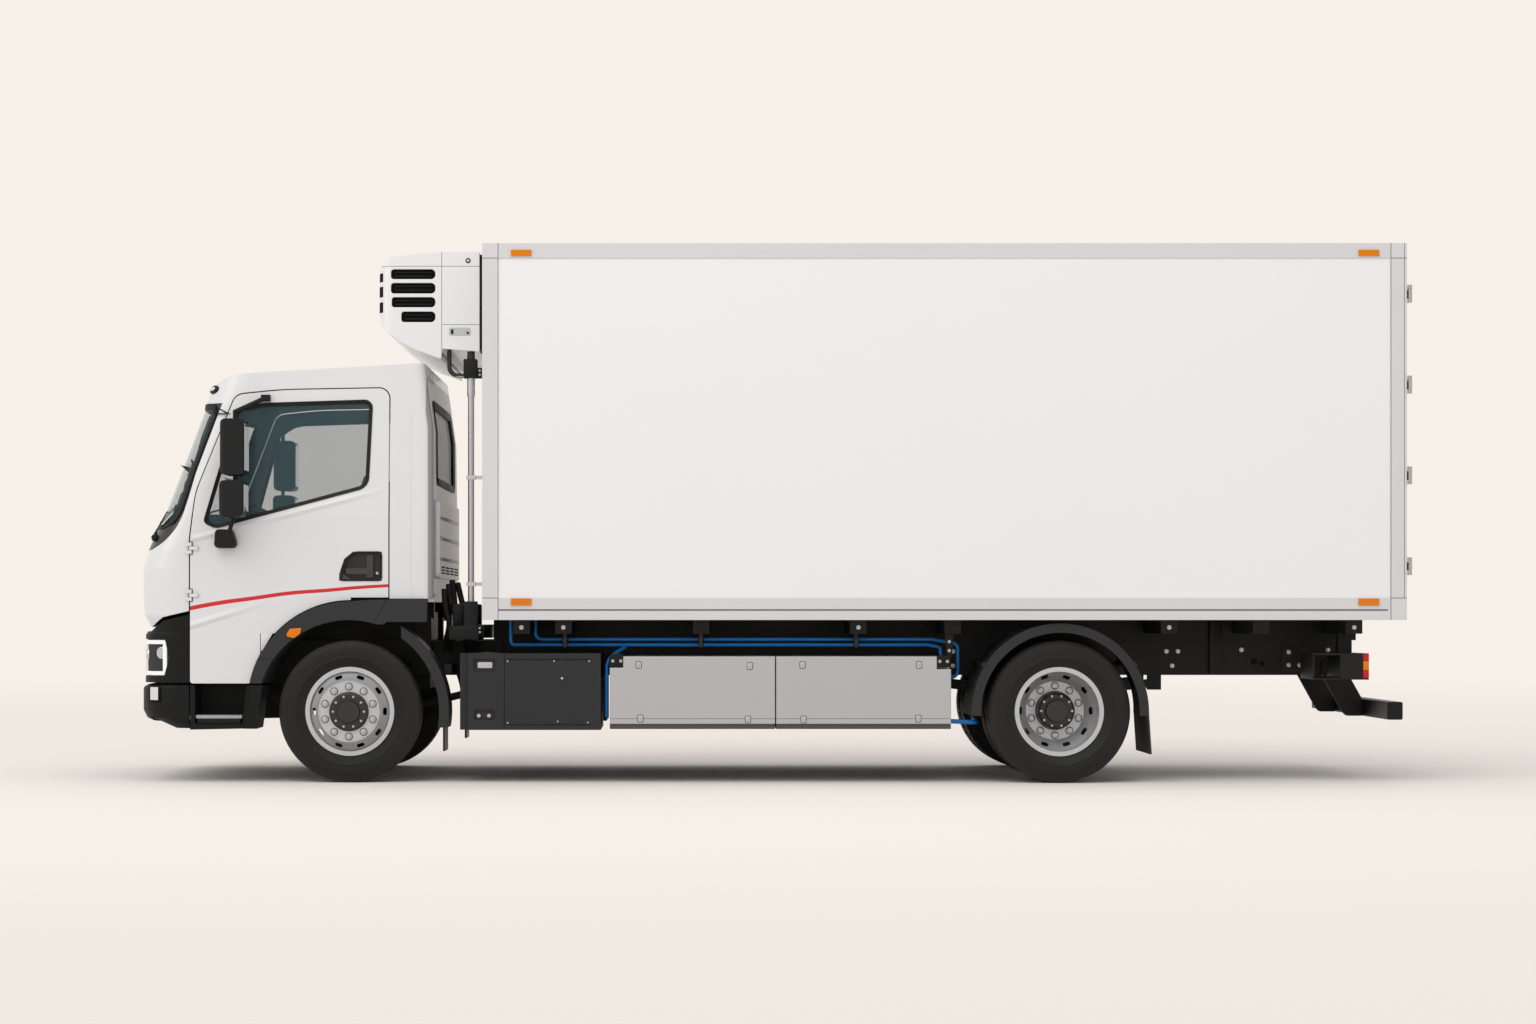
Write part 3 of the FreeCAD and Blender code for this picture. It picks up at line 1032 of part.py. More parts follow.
SILL_TOP = BOX_BOTTOM + 120
HEADER_BOTTOM = BOX_TOP - TOP_RAIL
HINGE_X = BOX_REAR_X + REAR_HARDWARE - HINGE_KNUCKLE_RADIUS
HINGE_Y = HALF + HINGE_PIN_OUT
HINGE_LUG_GAP = 3.0
LEAF_FACE = BOX_REAR_X - LEAF_RECESS
LEAF_Y0 = REAR_POST + RUN_GAP - HALF
LEAF_Y1 = -4.0
LEAF_Z0 = SILL_TOP + RUN_GAP
LEAF_Z1 = HEADER_BOTTOM - RUN_GAP
hinge_step = (LEAF_Z1 - LEAF_Z0 - 460) / (HINGE_COUNT - 1)
REAR_HINGE_HEIGHTS = [LEAF_Z0 + 230 + k * hinge_step for k in range(HINGE_COUNT)]


def left_frame_hinge(z):
    """Lugs and pin on the left post."""
    strap_half = HINGE_STRAP_HEIGHT / 2
    near = strap_half + HINGE_LUG_GAP
    far = near + HINGE_LUG_HEIGHT
    bits = [rod(HINGE_PIN_RADIUS, (HINGE_X, -HINGE_Y, z - strap_half - 10), (HINGE_X, -HINGE_Y, z + strap_half + 10))]
    for z0, z1 in ((z - far, z - near), (z + near, z + far)):
        bits.append(block(BOX_REAR_X - 1, HINGE_X - 4, -HINGE_Y, 40 - HALF, z0, z1))
        bits.append(rod(HINGE_KNUCKLE_RADIUS, (HINGE_X, -HINGE_Y, z0), (HINGE_X, -HINGE_Y, z1)))
    return bits


rear_ring = block(FRAME_X, BOX_REAR_X, -HALF, HALF, BOX_BOTTOM, BOX_TOP).cut(
    block(FRAME_X - 1, BOX_REAR_X + 1, REAR_POST - HALF, HALF - REAR_POST, SILL_TOP, HEADER_BOTTOM))
ring_bits = [rear_ring]
for hinge_z in REAR_HINGE_HEIGHTS:
    for bit in left_frame_hinge(hinge_z):
        ring_bits += both_sides(bit)
save("rear_door_frame", fused(ring_bits))

LOCK_ROD_X = LEAF_FACE + 24
LOCK_ROD_YS = (LEAF_Y1 - 190, LEAF_Y1 - 760)
LOCK_GUIDE_RISES = (45.0, 620.0, 1150.0, 1700.0, LEAF_Z1 - LEAF_Z0 - 45.0)
LOCK_HANDLE_RISE = 395.0


def leaf_strap(z):
    z0, z1 = z - HINGE_STRAP_HEIGHT / 2, z + HINGE_STRAP_HEIGHT / 2
    arm_x0, arm_x1 = HINGE_X - 11, HINGE_X - 1
    strap = fused([
        block(LEAF_FACE - 1, LEAF_FACE + 10, LEAF_Y0 + 6, LEAF_Y0 + HINGE_STRAP_LENGTH, z0, z1),
        block(LEAF_FACE - 1, arm_x1, LEAF_Y0 + 6, LEAF_Y0 + 18, z0, z1),
        block(arm_x0, arm_x1, -HINGE_Y, LEAF_Y0 + 18, z0, z1),
        rod(HINGE_KNUCKLE_RADIUS, (HINGE_X, -HINGE_Y, z0), (HINGE_X, -HINGE_Y, z1)),
    ])
    return strap.cut(rod(HINGE_PIN_RADIUS + PIN_FIT, (HINGE_X, -HINGE_Y, z0 - 5), (HINGE_X, -HINGE_Y, z1 + 5)))


def lock_rod(y):
    """Full-height lock rod with its guides and its lever."""
    x = LOCK_ROD_X
    bits = [rod(LOCK_ROD_RADIUS, (x, y, LEAF_Z0 + 20), (x, y, LEAF_Z1 - 20))]
    for rise in LOCK_GUIDE_RISES:
        bits.append(block(LEAF_FACE - 1, x + 14, y - 26, y + 26, LEAF_Z0 + rise - 22, LEAF_Z0 + rise + 22))
    handle_z = LEAF_Z0 + LOCK_HANDLE_RISE
    reach_y = min(y + 300, LEAF_Y1)
    bits.append(block(x - 6, x + 8, y - 14, reach_y, handle_z, handle_z + 30))
    bits.append(block(LEAF_FACE - 1, x + 4, reach_y - 38, reach_y - 8, handle_z - 10, handle_z + 40))
    return bits


leaf_bits = [block(LEAF_FACE - LEAF_THICKNESS, LEAF_FACE, LEAF_Y0, LEAF_Y1, LEAF_Z0, LEAF_Z1)]
leaf_bits += [leaf_strap(z) for z in REAR_HINGE_HEIGHTS]
for rod_y in LOCK_ROD_YS:
    leaf_bits += lock_rod(rod_y)
save_pair("rear_door", fused(leaf_bits))


# Cooling unit on the front wall

UNIT_HALF = 1000.0
UNIT_REAR_X = BOX_FRONT_X - 36
UNIT_TOP = BOX_TOP - 27
UNIT_DEPTH = 718.0
UNIT_CORNER = 110.0
UNIT_BELLY = [(-284, -651), (-36, -671)]
UNIT_OUTLINE = [(-36, 0), (-284, 0), (-452, -9), (-580, -26), (-658, -45), (-696, -78), (-713, -128), (-718, -303),
                (-718, -431), (-707, -484), (-671, -529), (-580, -600), (-452, -664), (-297, -719)] + UNIT_BELLY
SIDE_SLOTS = ((-183, -116, -633), (-280, -208, -633), (-373, -304, -628), (-473, -401, -563))
FRONT_SLOTS = ((-198, -140), (-300, -230), (-405, -335))


def unit_points(points):
    return raised(shifted(points, BOX_FRONT_X), UNIT_TOP)


def cooling_unit():
    body = side_prism(unit_points(UNIT_OUTLINE), -UNIT_HALF, UNIT_HALF)
    front_x = BOX_FRONT_X - UNIT_DEPTH
    body = body.common(plan_prism([(front_x, -UNIT_HALF, UNIT_CORNER), (UNIT_REAR_X + 5, -UNIT_HALF),
                                   (UNIT_REAR_X + 5, UNIT_HALF), (front_x, UNIT_HALF, UNIT_CORNER)],
                                  UNIT_TOP - 750, UNIT_TOP + 50))
    slots = []
    for z0, z1, x0 in SIDE_SLOTS:
        slot = side_prism(unit_points([(x0, z0, 20), (-333, z0, 30), (-333, z1, 30), (x0, z1, 20)]),
                          -UNIT_HALF - 5, 40 - UNIT_HALF)
        slots += both_sides(slot)
    for z0, z1 in FRONT_SLOTS:
        slots.append(front_prism(raised([(-820, z0, 28), (820, z0, 28), (820, z1, 28), (-820, z1, 28)], UNIT_TOP),
                                 front_x - 15, front_x + 35))
    return body.cut(Part.makeCompound(slots)).removeSplitter()


def under_unit(x):
    """Height of the unit's underside near its rear."""
    (x0, z0), (x1, z1) = UNIT_BELLY
    return UNIT_TOP + z0 + (z1 - z0) * (x - BOX_FRONT_X - x0) / (x1 - x0)


save("cooling_unit", cooling_unit())
save("unit_mount", block(UNIT_REAR_X + SEAT_GAP, BOX_FRONT_X - SEAT_GAP, 30 - UNIT_HALF, UNIT_HALF - 30,
                         UNIT_TOP - 655, UNIT_TOP - 15))
evaporator_x = inner_x + SEAT_GAP
save("evaporator", side_prism([(evaporator_x, 3230), (inner_x + 120, 3200), (inner_x + 420, 3330, 40),
                               (inner_x + 420, ROOF_BOTTOM - SEAT_GAP), (evaporator_x, ROOF_BOTTOM - SEAT_GAP)],
                              -750, 750))


# Pipes of the cooling unit

def tube(points, radius, bend):
    """Round tube along straight runs with rounded corners."""
    corners = [Vector(*p) for p in points]
    edges, last = [], corners[0]
    for i in range(1, len(corners) - 1):
        before = (corners[i - 1] - corners[i]).normalize()
        after = (corners[i + 1] - corners[i]).normalize()
        half = before.getAngle(after) / 2
        run = bend / math.tan(half)
        start, end = corners[i] + before * run, corners[i] + after * run
        middle = corners[i] + (before + after).normalize() * (bend / math.sin(half) - bend)
        if (start - last).Length > 0.01:
            edges.append(Part.LineSegment(last, start).toShape())
        edges.append(Part.Arc(start, middle, end).toShape())
        last = end
    edges.append(Part.LineSegment(last, corners[-1]).toShape())
    first = (corners[1] - corners[0]).normalize()
    ring = Part.Wire(Part.Circle(corners[0], first, radius).toShape())
    return Part.Wire(edges).makePipeShell([ring], True, False)


PIPE_X = BOX_FRONT_X - 96
PIPE_Y = 50 - UNIT_HALF
PIPE_RADIUS = 21.0
HOSE_RADIUS = 15.0
HOSE_X = PIPE_X - 147
CLAMP_HEIGHTS = (2052.0, 1332.0)
pipe_bits = [
    rod(PIPE_RADIUS, (PIPE_X, PIPE_Y, 1200), (PIPE_X, PIPE_Y, 2735)),
    rod(PIPE_RADIUS + 5, (PIPE_X, PIPE_Y, 2600), (PIPE_X, PIPE_Y, under_unit(PIPE_X + PIPE_RADIUS + 5) - SEAT_GAP)),
    rod(PIPE_RADIUS + 6, (PIPE_X, PIPE_Y, 1060), (PIPE_X, PIPE_Y, 1212)),
    tube([(HOSE_X, PIPE_Y, under_unit(HOSE_X + HOSE_RADIUS) - SEAT_GAP), (HOSE_X, PIPE_Y, 2745),
          (PIPE_X + 5, PIPE_Y, 2735)], HOSE_RADIUS, 60),
]
for clamp_z in CLAMP_HEIGHTS:
    pipe_bits.append(block(PIPE_X - 30, PIPE_X + 30, PIPE_Y - 30, PIPE_Y + 30, clamp_z - 14, clamp_z + 14))
    pipe_bits.append(block(PIPE_X, BOX_FRONT_X - SEAT_GAP, PIPE_Y - 12, PIPE_Y + 12, clamp_z - 12, clamp_z + 12))
save("unit_pipes", fused(pipe_bits))


# Battery boxes and equipment boxes

def hanger(x, top):
    return block(x - 60, x + 60, -SIDE_GEAR_INNER - 1, -RAIL_OUTER_Y - SEAT_GAP, RAIL_BOTTOM + 20, top)


def battery_box(x0, x1, notch):
    """Left battery box with a step along its foot and a notch (x0, x1, depth) at one top corner."""
    notch_x0, notch_x1, depth = notch
    whole = block(x0, x1, -BATTERY_OUT, -SIDE_GEAR_INNER, BATTERY_Z0, BATTERY_Z1)
    whole = whole.cut(block(x0 - 1, x1 + 1, -BATTERY_OUT - 1, 10 - BATTERY_OUT, BATTERY_Z0 - 1, BATTERY_Z0 + 34))
    whole = whole.cut(block(notch_x0, notch_x1, -BATTERY_OUT - 1, 120 - BATTERY_OUT,
                            BATTERY_Z1 - depth, BATTERY_Z1 + 1))
    return fused([whole, hanger(x0 + 180, BATTERY_Z1), hanger(x1 - 180, BATTERY_Z1)])


def equipment_box():
    x0, x1 = NOSE_X + 2267, BATTERY_FRONT_X - 61
    whole = block(x0, x1, -EQUIPMENT_OUT, -SIDE_GEAR_INNER, 355, 867)
    whole = whole.fuse(block(x0 - 56, x0 + 8, 40 - EQUIPMENT_OUT, -SIDE_GEAR_INNER - 60, 355, 867))
    for a, b, z0, z1 in ((38, 185, 742, 829), (41, 177, 420, 490)):
        whole = whole.cut(side_prism(shifted([(a, z0, 12), (b, z0, 12), (b, z1, 12), (a, z1, 12)], x0),
                                     -EQUIPMENT_OUT - 1, 14 - EQUIPMENT_OUT))
    seam_x = x0 + 241
    whole = whole.cut(block(seam_x, seam_x + 4, -EQUIPMENT_OUT - 1, 8 - EQUIPMENT_OUT, 350, 870))
    return fused([whole, hanger(x0 + 108, 860), hanger(x1 - 129, 860)])


split_x = BATTERY_FRONT_X + (BATTERY_REAR_X - BATTERY_FRONT_X) * BATTERY_SPLIT
front_battery = battery_box(BATTERY_FRONT_X, split_x - 4, (BATTERY_FRONT_X - 1, BATTERY_FRONT_X + 90, 75))
rear_battery = battery_box(split_x + 4, BATTERY_REAR_X, (BATTERY_REAR_X - 95, BATTERY_REAR_X + 1, 85))
save("battery_boxes", *both_sides(front_battery), *both_sides(rear_battery))
save("equipment_boxes", *both_sides(equipment_box()))


# Coolant lines on the left

UPPER_LINE_Y = -900.0
UPPER_LINE_Z = 957.0
LOWER_LINE_Y = -940.0
LOWER_LINE_Z = 921.0
line_top = BOX_BOTTOM - SEAT_GAP
upper_line = tube([(BOX_FRONT_X + 337, UPPER_LINE_Y, line_top), (BOX_FRONT_X + 337, UPPER_LINE_Y, UPPER_LINE_Z),
                   (BATTERY_REAR_X - 108, UPPER_LINE_Y, UPPER_LINE_Z), (BATTERY_REAR_X + 72, UPPER_LINE_Y, 930),
                   (BATTERY_REAR_X + 72, UPPER_LINE_Y, 700), (BATTERY_REAR_X + SEAT_GAP, UPPER_LINE_Y, 700)],
                  LINE_RADIUS, 45)
lower_line = tube([(BOX_FRONT_X + 172, LOWER_LINE_Y, line_top), (BOX_FRONT_X + 172, LOWER_LINE_Y, LOWER_LINE_Z),
                   (BATTERY_REAR_X - 138, LOWER_LINE_Y, LOWER_LINE_Z), (BATTERY_REAR_X - 48, LOWER_LINE_Y, 905),
                   (BATTERY_REAR_X - 48, LOWER_LINE_Y, BATTERY_Z1 + SEAT_GAP)], LINE_RADIUS, 28)
line_bits = [upper_line, lower_line]
for clip_x in CROSS_BEAMS[1:4]:
    line_bits.append(block(clip_x - 12, clip_x + 12, LOWER_LINE_Y - 16, UPPER_LINE_Y + 16, 905, 972))
    line_bits.append(block(clip_x - 12, clip_x + 12, -925, -915, 960, CROSS_BEAM_BOTTOM - SEAT_GAP))
save("coolant_lines", fused(line_bits))


# Mudguards and flaps

FRONT_GUARD_INNER = 604.0
FRONT_GUARD_OUTER = 670.0


def arc_band(centre_x, r0, r1, y0, y1, low_left, low_right):
    """Left ring segment round an axle, cut off below a height in front of and behind it."""
    outer = rod(r1, (centre_x, -y1, AXLE_Z), (centre_x, -y0, AXLE_Z))
    band = outer.cut(rod(r0, (centre_x, -y1 - 1, AXLE_Z), (centre_x, 1 - y0, AXLE_Z)))
    keep = block(centre_x - 1000, centre_x, -WIDE, 0, low_left, 2000).fuse(
        block(centre_x - 1, centre_x + 1000, -WIDE, 0, low_right, 2000))
    return band.common(keep)


def rear_guard():
    bits = [arc_band(REAR_AXLE_X, GUARD_RADIUS - 12, GUARD_RADIUS, GUARD_Y0, GUARD_Y1, 451, 451),
            arc_band(REAR_AXLE_X, GUARD_RADIUS - 62, GUARD_RADIUS, GUARD_Y1 - 14, GUARD_Y1, 451, 451)]
    for x in (REAR_AXLE_X - 500, REAR_AXLE_X + 500):
        bits.append(rod(18, (x, -RAIL_OUTER_Y - SEAT_GAP, 790), (x, 40 - GUARD_Y1, 790)))
    flap_x = REAR_AXLE_X + GUARD_RADIUS - 12
    bits.append(side_prism([(flap_x, 470), (flap_x + 12, 470), (flap_x + 30, 195), (flap_x + 18, 195)],
                           -GUARD_Y1, -GUARD_Y0))
    return fused(bits)


def front_guard():
    """Rear half of the front wheel's guard, on the frame."""
    guard = arc_band(FRONT_AXLE_X, FRONT_GUARD_INNER, FRONT_GUARD_OUTER, 870, 1170, 1900, 370)
    guard = guard.cut(block(FRONT_AXLE_X - 100, FRONT_AXLE_X + 350, -WIDE, 0, 900, 1300))
    hollow = arc_band(FRONT_AXLE_X, FRONT_GUARD_INNER + 12, FRONT_GUARD_OUTER - 12, 860, 1150, 1900, 300)
    guard = guard.cut(hollow.common(block(FRONT_AXLE_X, FRONT_AXLE_X + 1000, -1151, -884, 384, 1200)))
    flap_x = FRONT_AXLE_X + FRONT_GUARD_OUTER - 33
    bracket_x = NOSE_X + 2085
    return fused([guard, block(flap_x - 8, flap_x + 6, -1160, -880, 213, 380),
                  block(bracket_x, bracket_x + 50, -880, -RAIL_OUTER_Y - SEAT_GAP,
                        RAIL_BOTTOM + 20, RAIL_BOTTOM + 80)])


save("mudguards", *both_sides(rear_guard()), *both_sides(front_guard()))


# Rear lamps, underrun guard and marker lamps

LAMP_X1 = BOX_REAR_X - 225
LAMP_X0 = LAMP_X1 - 190
hang_x0, hang_x1 = BOX_REAR_X - 393, BOX_REAR_X - 303
lamp_bits = [
    block(LAMP_X0, LAMP_X1, -1150, -750, 690, 866),
    block(LAMP_X0 - 185, LAMP_X0 + 1, -1150, -750, 690, 702),
    block(LAMP_X0 - 185, LAMP_X0 + 1, -1150, -750, 854, 866),
    block(LAMP_X0 - 185, LAMP_X0 - 173, -1150, -750, 690, 866),
    block(hang_x0, hang_x1, -980, -900, 850, CROSS_BEAM_BOTTOM - SEAT_GAP),
]
save("rear_lamps", *both_sides(fused(lamp_bits)))

bar = side_prism(shifted([(-113, 424, 12), (-10, 424, 12), (-10, 543, 12), (-113, 543, 12)], BOX_REAR_X), -1200, 1200)
bar_arm = side_prism(shifted([(-389, 800), (-389, RAIL_BOTTOM), (-256, 465, 60), (-226, 424, 40), (-112, 424),
                              (-112, 545), (-202, RAIL_BOTTOM), (-202, 800)], BOX_REAR_X),
                     -RAIL_OUTER_Y - SEAT_GAP - 16, -RAIL_OUTER_Y - SEAT_GAP)
save("underrun_guard", fused([bar] + both_sides(bar_arm)))

MARKER_HALF = 68.0
markers = []
for marker_x in (BOX_FRONT_X + 260, BOX_REAR_X - 254):
    for marker_z, marker_rise in ((BOX_TOP - 66, 20), (BOX_BOTTOM + 120, 24)):
        markers += both_sides(block(marker_x - MARKER_HALF, marker_x + MARKER_HALF, -HALF - 12, -HALF - SEAT_GAP,
                                    marker_z - marker_rise, marker_z + marker_rise))
save("marker_lamps", *markers)
print("parts written")
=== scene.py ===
import math
from collections import namedtuple
import bmesh
import bpy
from mathutils import Matrix, Vector
from mathutils.bvhtree import BVHTree


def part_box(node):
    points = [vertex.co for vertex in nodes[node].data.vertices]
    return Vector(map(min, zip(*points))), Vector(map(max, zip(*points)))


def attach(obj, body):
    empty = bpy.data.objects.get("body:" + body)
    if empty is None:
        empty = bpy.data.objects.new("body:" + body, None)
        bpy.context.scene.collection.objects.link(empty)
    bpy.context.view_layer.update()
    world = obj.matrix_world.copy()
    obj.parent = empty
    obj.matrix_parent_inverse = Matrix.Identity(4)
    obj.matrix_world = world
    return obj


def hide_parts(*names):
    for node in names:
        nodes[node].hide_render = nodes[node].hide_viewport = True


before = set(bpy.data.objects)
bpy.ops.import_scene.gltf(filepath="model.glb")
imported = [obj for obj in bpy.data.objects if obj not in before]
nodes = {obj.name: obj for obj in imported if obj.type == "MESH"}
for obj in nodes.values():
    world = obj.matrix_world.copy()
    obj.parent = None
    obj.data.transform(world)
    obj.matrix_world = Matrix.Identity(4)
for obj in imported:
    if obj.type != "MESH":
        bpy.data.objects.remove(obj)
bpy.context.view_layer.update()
print("frame loaded")

# places that several pieces share, read from the frame
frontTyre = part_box("tyre_front_left")
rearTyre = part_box("tyre_rear_left")
frontAxleX = (frontTyre[0].x + frontTyre[1].x) / 2
rearAxleX = (rearTyre[0].x + rearTyre[1].x) / 2
axleZ = (frontTyre[0].z + frontTyre[1].z) / 2
tyreRadius = (frontTyre[1].z - frontTyre[0].z) / 2
tyreWidth = frontTyre[1].y - frontTyre[0].y
frontWheelY = -(frontTyre[0].y + frontTyre[1].y) / 2
rearHubY = -(rearTyre[0].y + rearTyre[1].y) / 2
dualHalf = (rearTyre[1].y - rearTyre[0].y - tyreWidth) / 2
sides, signs = (("left", -1), ("right", 1)), (-1, 1)
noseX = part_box("front_bumper")[0].x
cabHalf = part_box("front_bumper")[1].y
cabCentre = Vector((-3.3, 0, 1.9))
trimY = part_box("cab_arch_trims")[1].y
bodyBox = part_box("box_edge_profiles")
boxFrontX, boxHalf, boxBottom, boxTop = bodyBox[0].x, bodyBox[1].y, bodyBox[0].z, bodyBox[1].z
postX = bodyBox[1].x
boxRearX = postX + 0.106
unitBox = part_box("cooling_unit")
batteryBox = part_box("battery_boxes")
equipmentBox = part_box("equipment_boxes")
railY = 0.430


# materials

def shader(name, colour, roughness, metallic=0.0, **sockets):
    material = bpy.data.materials.new(name)
    material.use_nodes = True
    values = {"Base_Color": colour, "Roughness": roughness, "Metallic": metallic, **sockets}
    for socket, value in values.items():
        feed(surface(material).inputs[socket.replace("_", " ")], value)
    return material


def addNode(material, kind, **values):
    node = material.node_tree.nodes.new(kind)
    for key, value in values.items():
        if hasattr(node, key):
            setattr(node, key, value)
        else:
            feed(node.inputs[key.replace("_", " ")], value)
    return node


def surface(material):
    return material.node_tree.nodes["Principled BSDF"]


# sets a socket to a number, a vector or a colour, or links a value to it
def feed(socket, value):
    if isinstance(value, Value):
        value = value.socket
    if isinstance(value, bpy.types.NodeSocket):
        socket.id_data.links.new(value, socket)
    elif socket.type == "RGBA":
        socket.default_value = (*value, 1)
    else:
        socket.default_value = value


# a number that a material's nodes work out; each operation on it adds a node, and a mask is 1 or 0
class Value:
    def __init__(self, material, socket):
        self.material = material
        self.socket = socket

    def through(self, operation, *others):
        node = addNode(self.material, "ShaderNodeMath", operation=operation)
        for socket, value in zip(node.inputs, (self, *others)):
            feed(socket, value)
        return Value(self.material, node.outputs[0])

    def __add__(self, other):
        return self.through("ADD", other)

    def __sub__(self, other):
        return self.through("SUBTRACT", other)

    def __mul__(self, other):
        return self.through("MULTIPLY", other)

    def __truediv__(self, other):
        return self.through("DIVIDE", other)

    def __lt__(self, other):
        return self.through("LESS_THAN", other)

    def __gt__(self, other):
        return self.through("GREATER_THAN", other)

    def __abs__(self):
        return self.through("ABSOLUTE")

    # 1 where both masks are
    def __and__(self, other):
        return self.through("MULTIPLY", other)

    # 1 where either mask is
    def __or__(self, other):
        return self.through("MAXIMUM", other)

    def scaled(self, factor, plus):
        return self.through("MULTIPLY_ADD", factor, plus)

    def within(self, low, high):
        return (self > low) & (self < high)

    def near(self, place, half):
        return abs(self - place) < half

    # turns low to high into outLow to outHigh
    def spread(self, low, high, outLow, outHigh):
        node = addNode(self.material, "ShaderNodeMapRange", Value=self, From_Min=low, From_Max=high, To_Min=outLow,
                       To_Max=outHigh)
        return Value(self.material, node.outputs["Result"])


Point = namedtuple("Point", "x y z")


def objectPoint(material, scale=(1, 1, 1)):
    coordinates = addNode(material, "ShaderNodeTexCoord").outputs["Object"]
    return addNode(material, "ShaderNodeMapping", Vector=coordinates, Scale=scale).outputs["Vector"]


# the parts of a vector, or of the place on the object
def parts(material, vector=None):
    split = addNode(material, "ShaderNodeSeparateXYZ", Vector=objectPoint(material) if vector is None else vector)
    return Point(*(Value(material, output) for output in split.outputs))


def noise(material, scale, detail, stretch=(1, 1, 1)):
    point = objectPoint(material, stretch)
    texture = addNode(material, "ShaderNodeTexNoise", Vector=point, Scale=scale, Detail=detail)
    return Value(material, texture.outputs["Fac"])


def blend(material, factor, first, second, kind="RGBA"):
    node = addNode(material, "ShaderNodeMix", data_type=kind, Factor=factor)
    start, end, result = (6, 7, 2) if kind == "RGBA" else (2, 3, 0)
    feed(node.inputs[start], first)
    feed(node.inputs[end], second)
    return node.outputs[result]


# paints over what the surface has so far, where the mask is 1
def paintOver(material, mask, colour=None, roughness=None, metallic=None):
    changes = (("Base Color", colour, "RGBA"), ("Roughness", roughness, "FLOAT"), ("Metallic", metallic, "FLOAT"))
    for name, value, kind in changes:
        if value is None:
            continue
        socket = surface(material).inputs[name]
        before = socket.links[0].from_socket if socket.links else socket.default_value
        feed(socket, blend(material, mask, before, value, kind))


def addBump(material, height, strength, distance):
    bump = addNode(material, "ShaderNodeBump", Strength=strength, Distance=distance, Height=height)
    target = surface(material).inputs["Normal"]
    if target.links:
        feed(bump.inputs["Normal"], target.links[0].from_socket)
    feed(target, bump.outputs["Normal"])


materials = {}


# a finish with a slow colour change, an uneven gloss, edges softened by a small radius and a fine grain
def finished(name, colour, other, roughness, grain=300, grainBump=0.0, grainDepth=0.0005, metallic=0.0,
             stretch=(1, 1, 1), roughSwing=0.04, edge=0.0, **sockets):
    material = shader(name, colour, roughness, metallic, **sockets)
    materials[name] = material
    inputs = surface(material).inputs
    feed(inputs["Base Color"], blend(material, noise(material, 0.9, 2.0), colour, other))
    gloss = noise(material, 2.3, 2.0).spread(0.3, 0.7, roughness - roughSwing, roughness + roughSwing)
    feed(inputs["Roughness"], gloss)
    if edge:
        rounding = addNode(material, "ShaderNodeBevel", samples=8, Radius=edge)
        feed(inputs["Normal"], rounding.outputs["Normal"])
    if grainBump:
        addBump(material, noise(material, grain, 5.0, stretch), grainBump, grainDepth)
    return material


whites = {
    "cab": ((0.70, 0.702, 0.715), (0.675, 0.677, 0.69)),
    "panel": ((0.805, 0.806, 0.816), (0.79, 0.792, 0.802)),
    "unit": ((0.76, 0.762, 0.775), (0.74, 0.742, 0.755)),
}
cabGloss = {"roughness": 0.26, "roughSwing": 0.02, "Coat_Weight": 0.3, "Coat_Roughness": 0.06}
blackPaint = (0.007, 0.007, 0.008)
steelColour = (0.42, 0.42, 0.43)


# dark finishes mirror little, so that they stay dark in a pale room
def darkFinish(name, shade, other, roughness, grain, grainBump, mirror=0.25, edge=0.0):
    return finished(name, (shade, shade, shade * 1.07), (other, other, other * 1.06), roughness, grain, grainBump,
                    0.0006, edge=edge, Specular_IOR_Level=mirror)


def makePlainFinishes():
    darkFinish("blackPlastic", 0.010, 0.013, 0.46, 900, 0.3, 0.18, 0.004)
    darkFinish("frontPlastic", 0.007, 0.010, 0.46, 900, 0.3, 0.14, 0.004)
    darkFinish("greyPlastic", 0.021, 0.026, 0.5, 800, 0.35, edge=0.004)
    darkFinish("framePaint", 0.005, 0.008, 0.42, 260, 0.2, 0.2, 0.002)
    darkFinish("trimGrey", 0.022, 0.030, 0.6, 700, 0.4, edge=0.006)
    darkFinish("rubber", 0.006, 0.009, 0.55, 500, 0.2)
    # near-black: the real black of screens, lamp backs and bezels, and painted shade where it fills holes, slots and
    # louvres
    darkFinish("blackAndPaintedShade", 0.003, 0.005, 0.7, 300, 0.1, 0.1)
    finished("bolt", (0.55, 0.55, 0.56), steelColour, 0.34, 500, 0.1, 0.0003, 0.9)
    finished("steel", steelColour, (0.36, 0.36, 0.37), 0.36, 700, 0.15, 0.0003, 0.8, (1, 1, 0.05))
    finished("paleGrey", (0.50, 0.505, 0.52), (0.46, 0.465, 0.48), 0.4, edge=0.002)
    finished("amber", (0.74, 0.21, 0.003), (0.66, 0.17, 0.003), 0.3, Specular_IOR_Level=0.25)
    finished("red", (0.60, 0.010, 0.008), (0.50, 0.008, 0.006), 0.3, Specular_IOR_Level=0.25)
    finished("lampClear", (0.30, 0.31, 0.32), (0.26, 0.27, 0.28), 0.06, roughSwing=0.02, Alpha=0.07)
    finished("lampBright", (0.80, 0.82, 0.83), (0.72, 0.74, 0.75), 0.14, metallic=0.85)
    finished("dayLight", (0.88, 0.89, 0.90), (0.82, 0.83, 0.85), 0.25, Emission_Strength=0.25,
             Emission_Color=(1, 1, 1))
    finished("mirrorGlass", (0.72, 0.75, 0.77), (0.66, 0.69, 0.71), 0.03, metallic=1.0, roughSwing=0.01)
    finished("glass", (0.070, 0.145, 0.170), (0.080, 0.155, 0.180), 0.04, roughSwing=0.01, Alpha=0.22)
    finished("fillerPaint", *whites["cab"], **cabGloss)


clips = {"places": (-1.370, -0.450, 0.600), "half": 0.021, "colour": (0.05, 0.05, 0.052)}


# blue lines with dark clips round them
def makeBlueLine():
    material = finished("blueLine", (0.006, 0.200, 0.56), (0.005, 0.165, 0.48), 0.32, 500, 0.1, 0.0003,
                        Specular_IOR_Level=0.35)
    x = parts(material).x
    for place in clips["places"]:
        paintOver(material, x.near(place, clips["half"]), clips["colour"], 0.5)


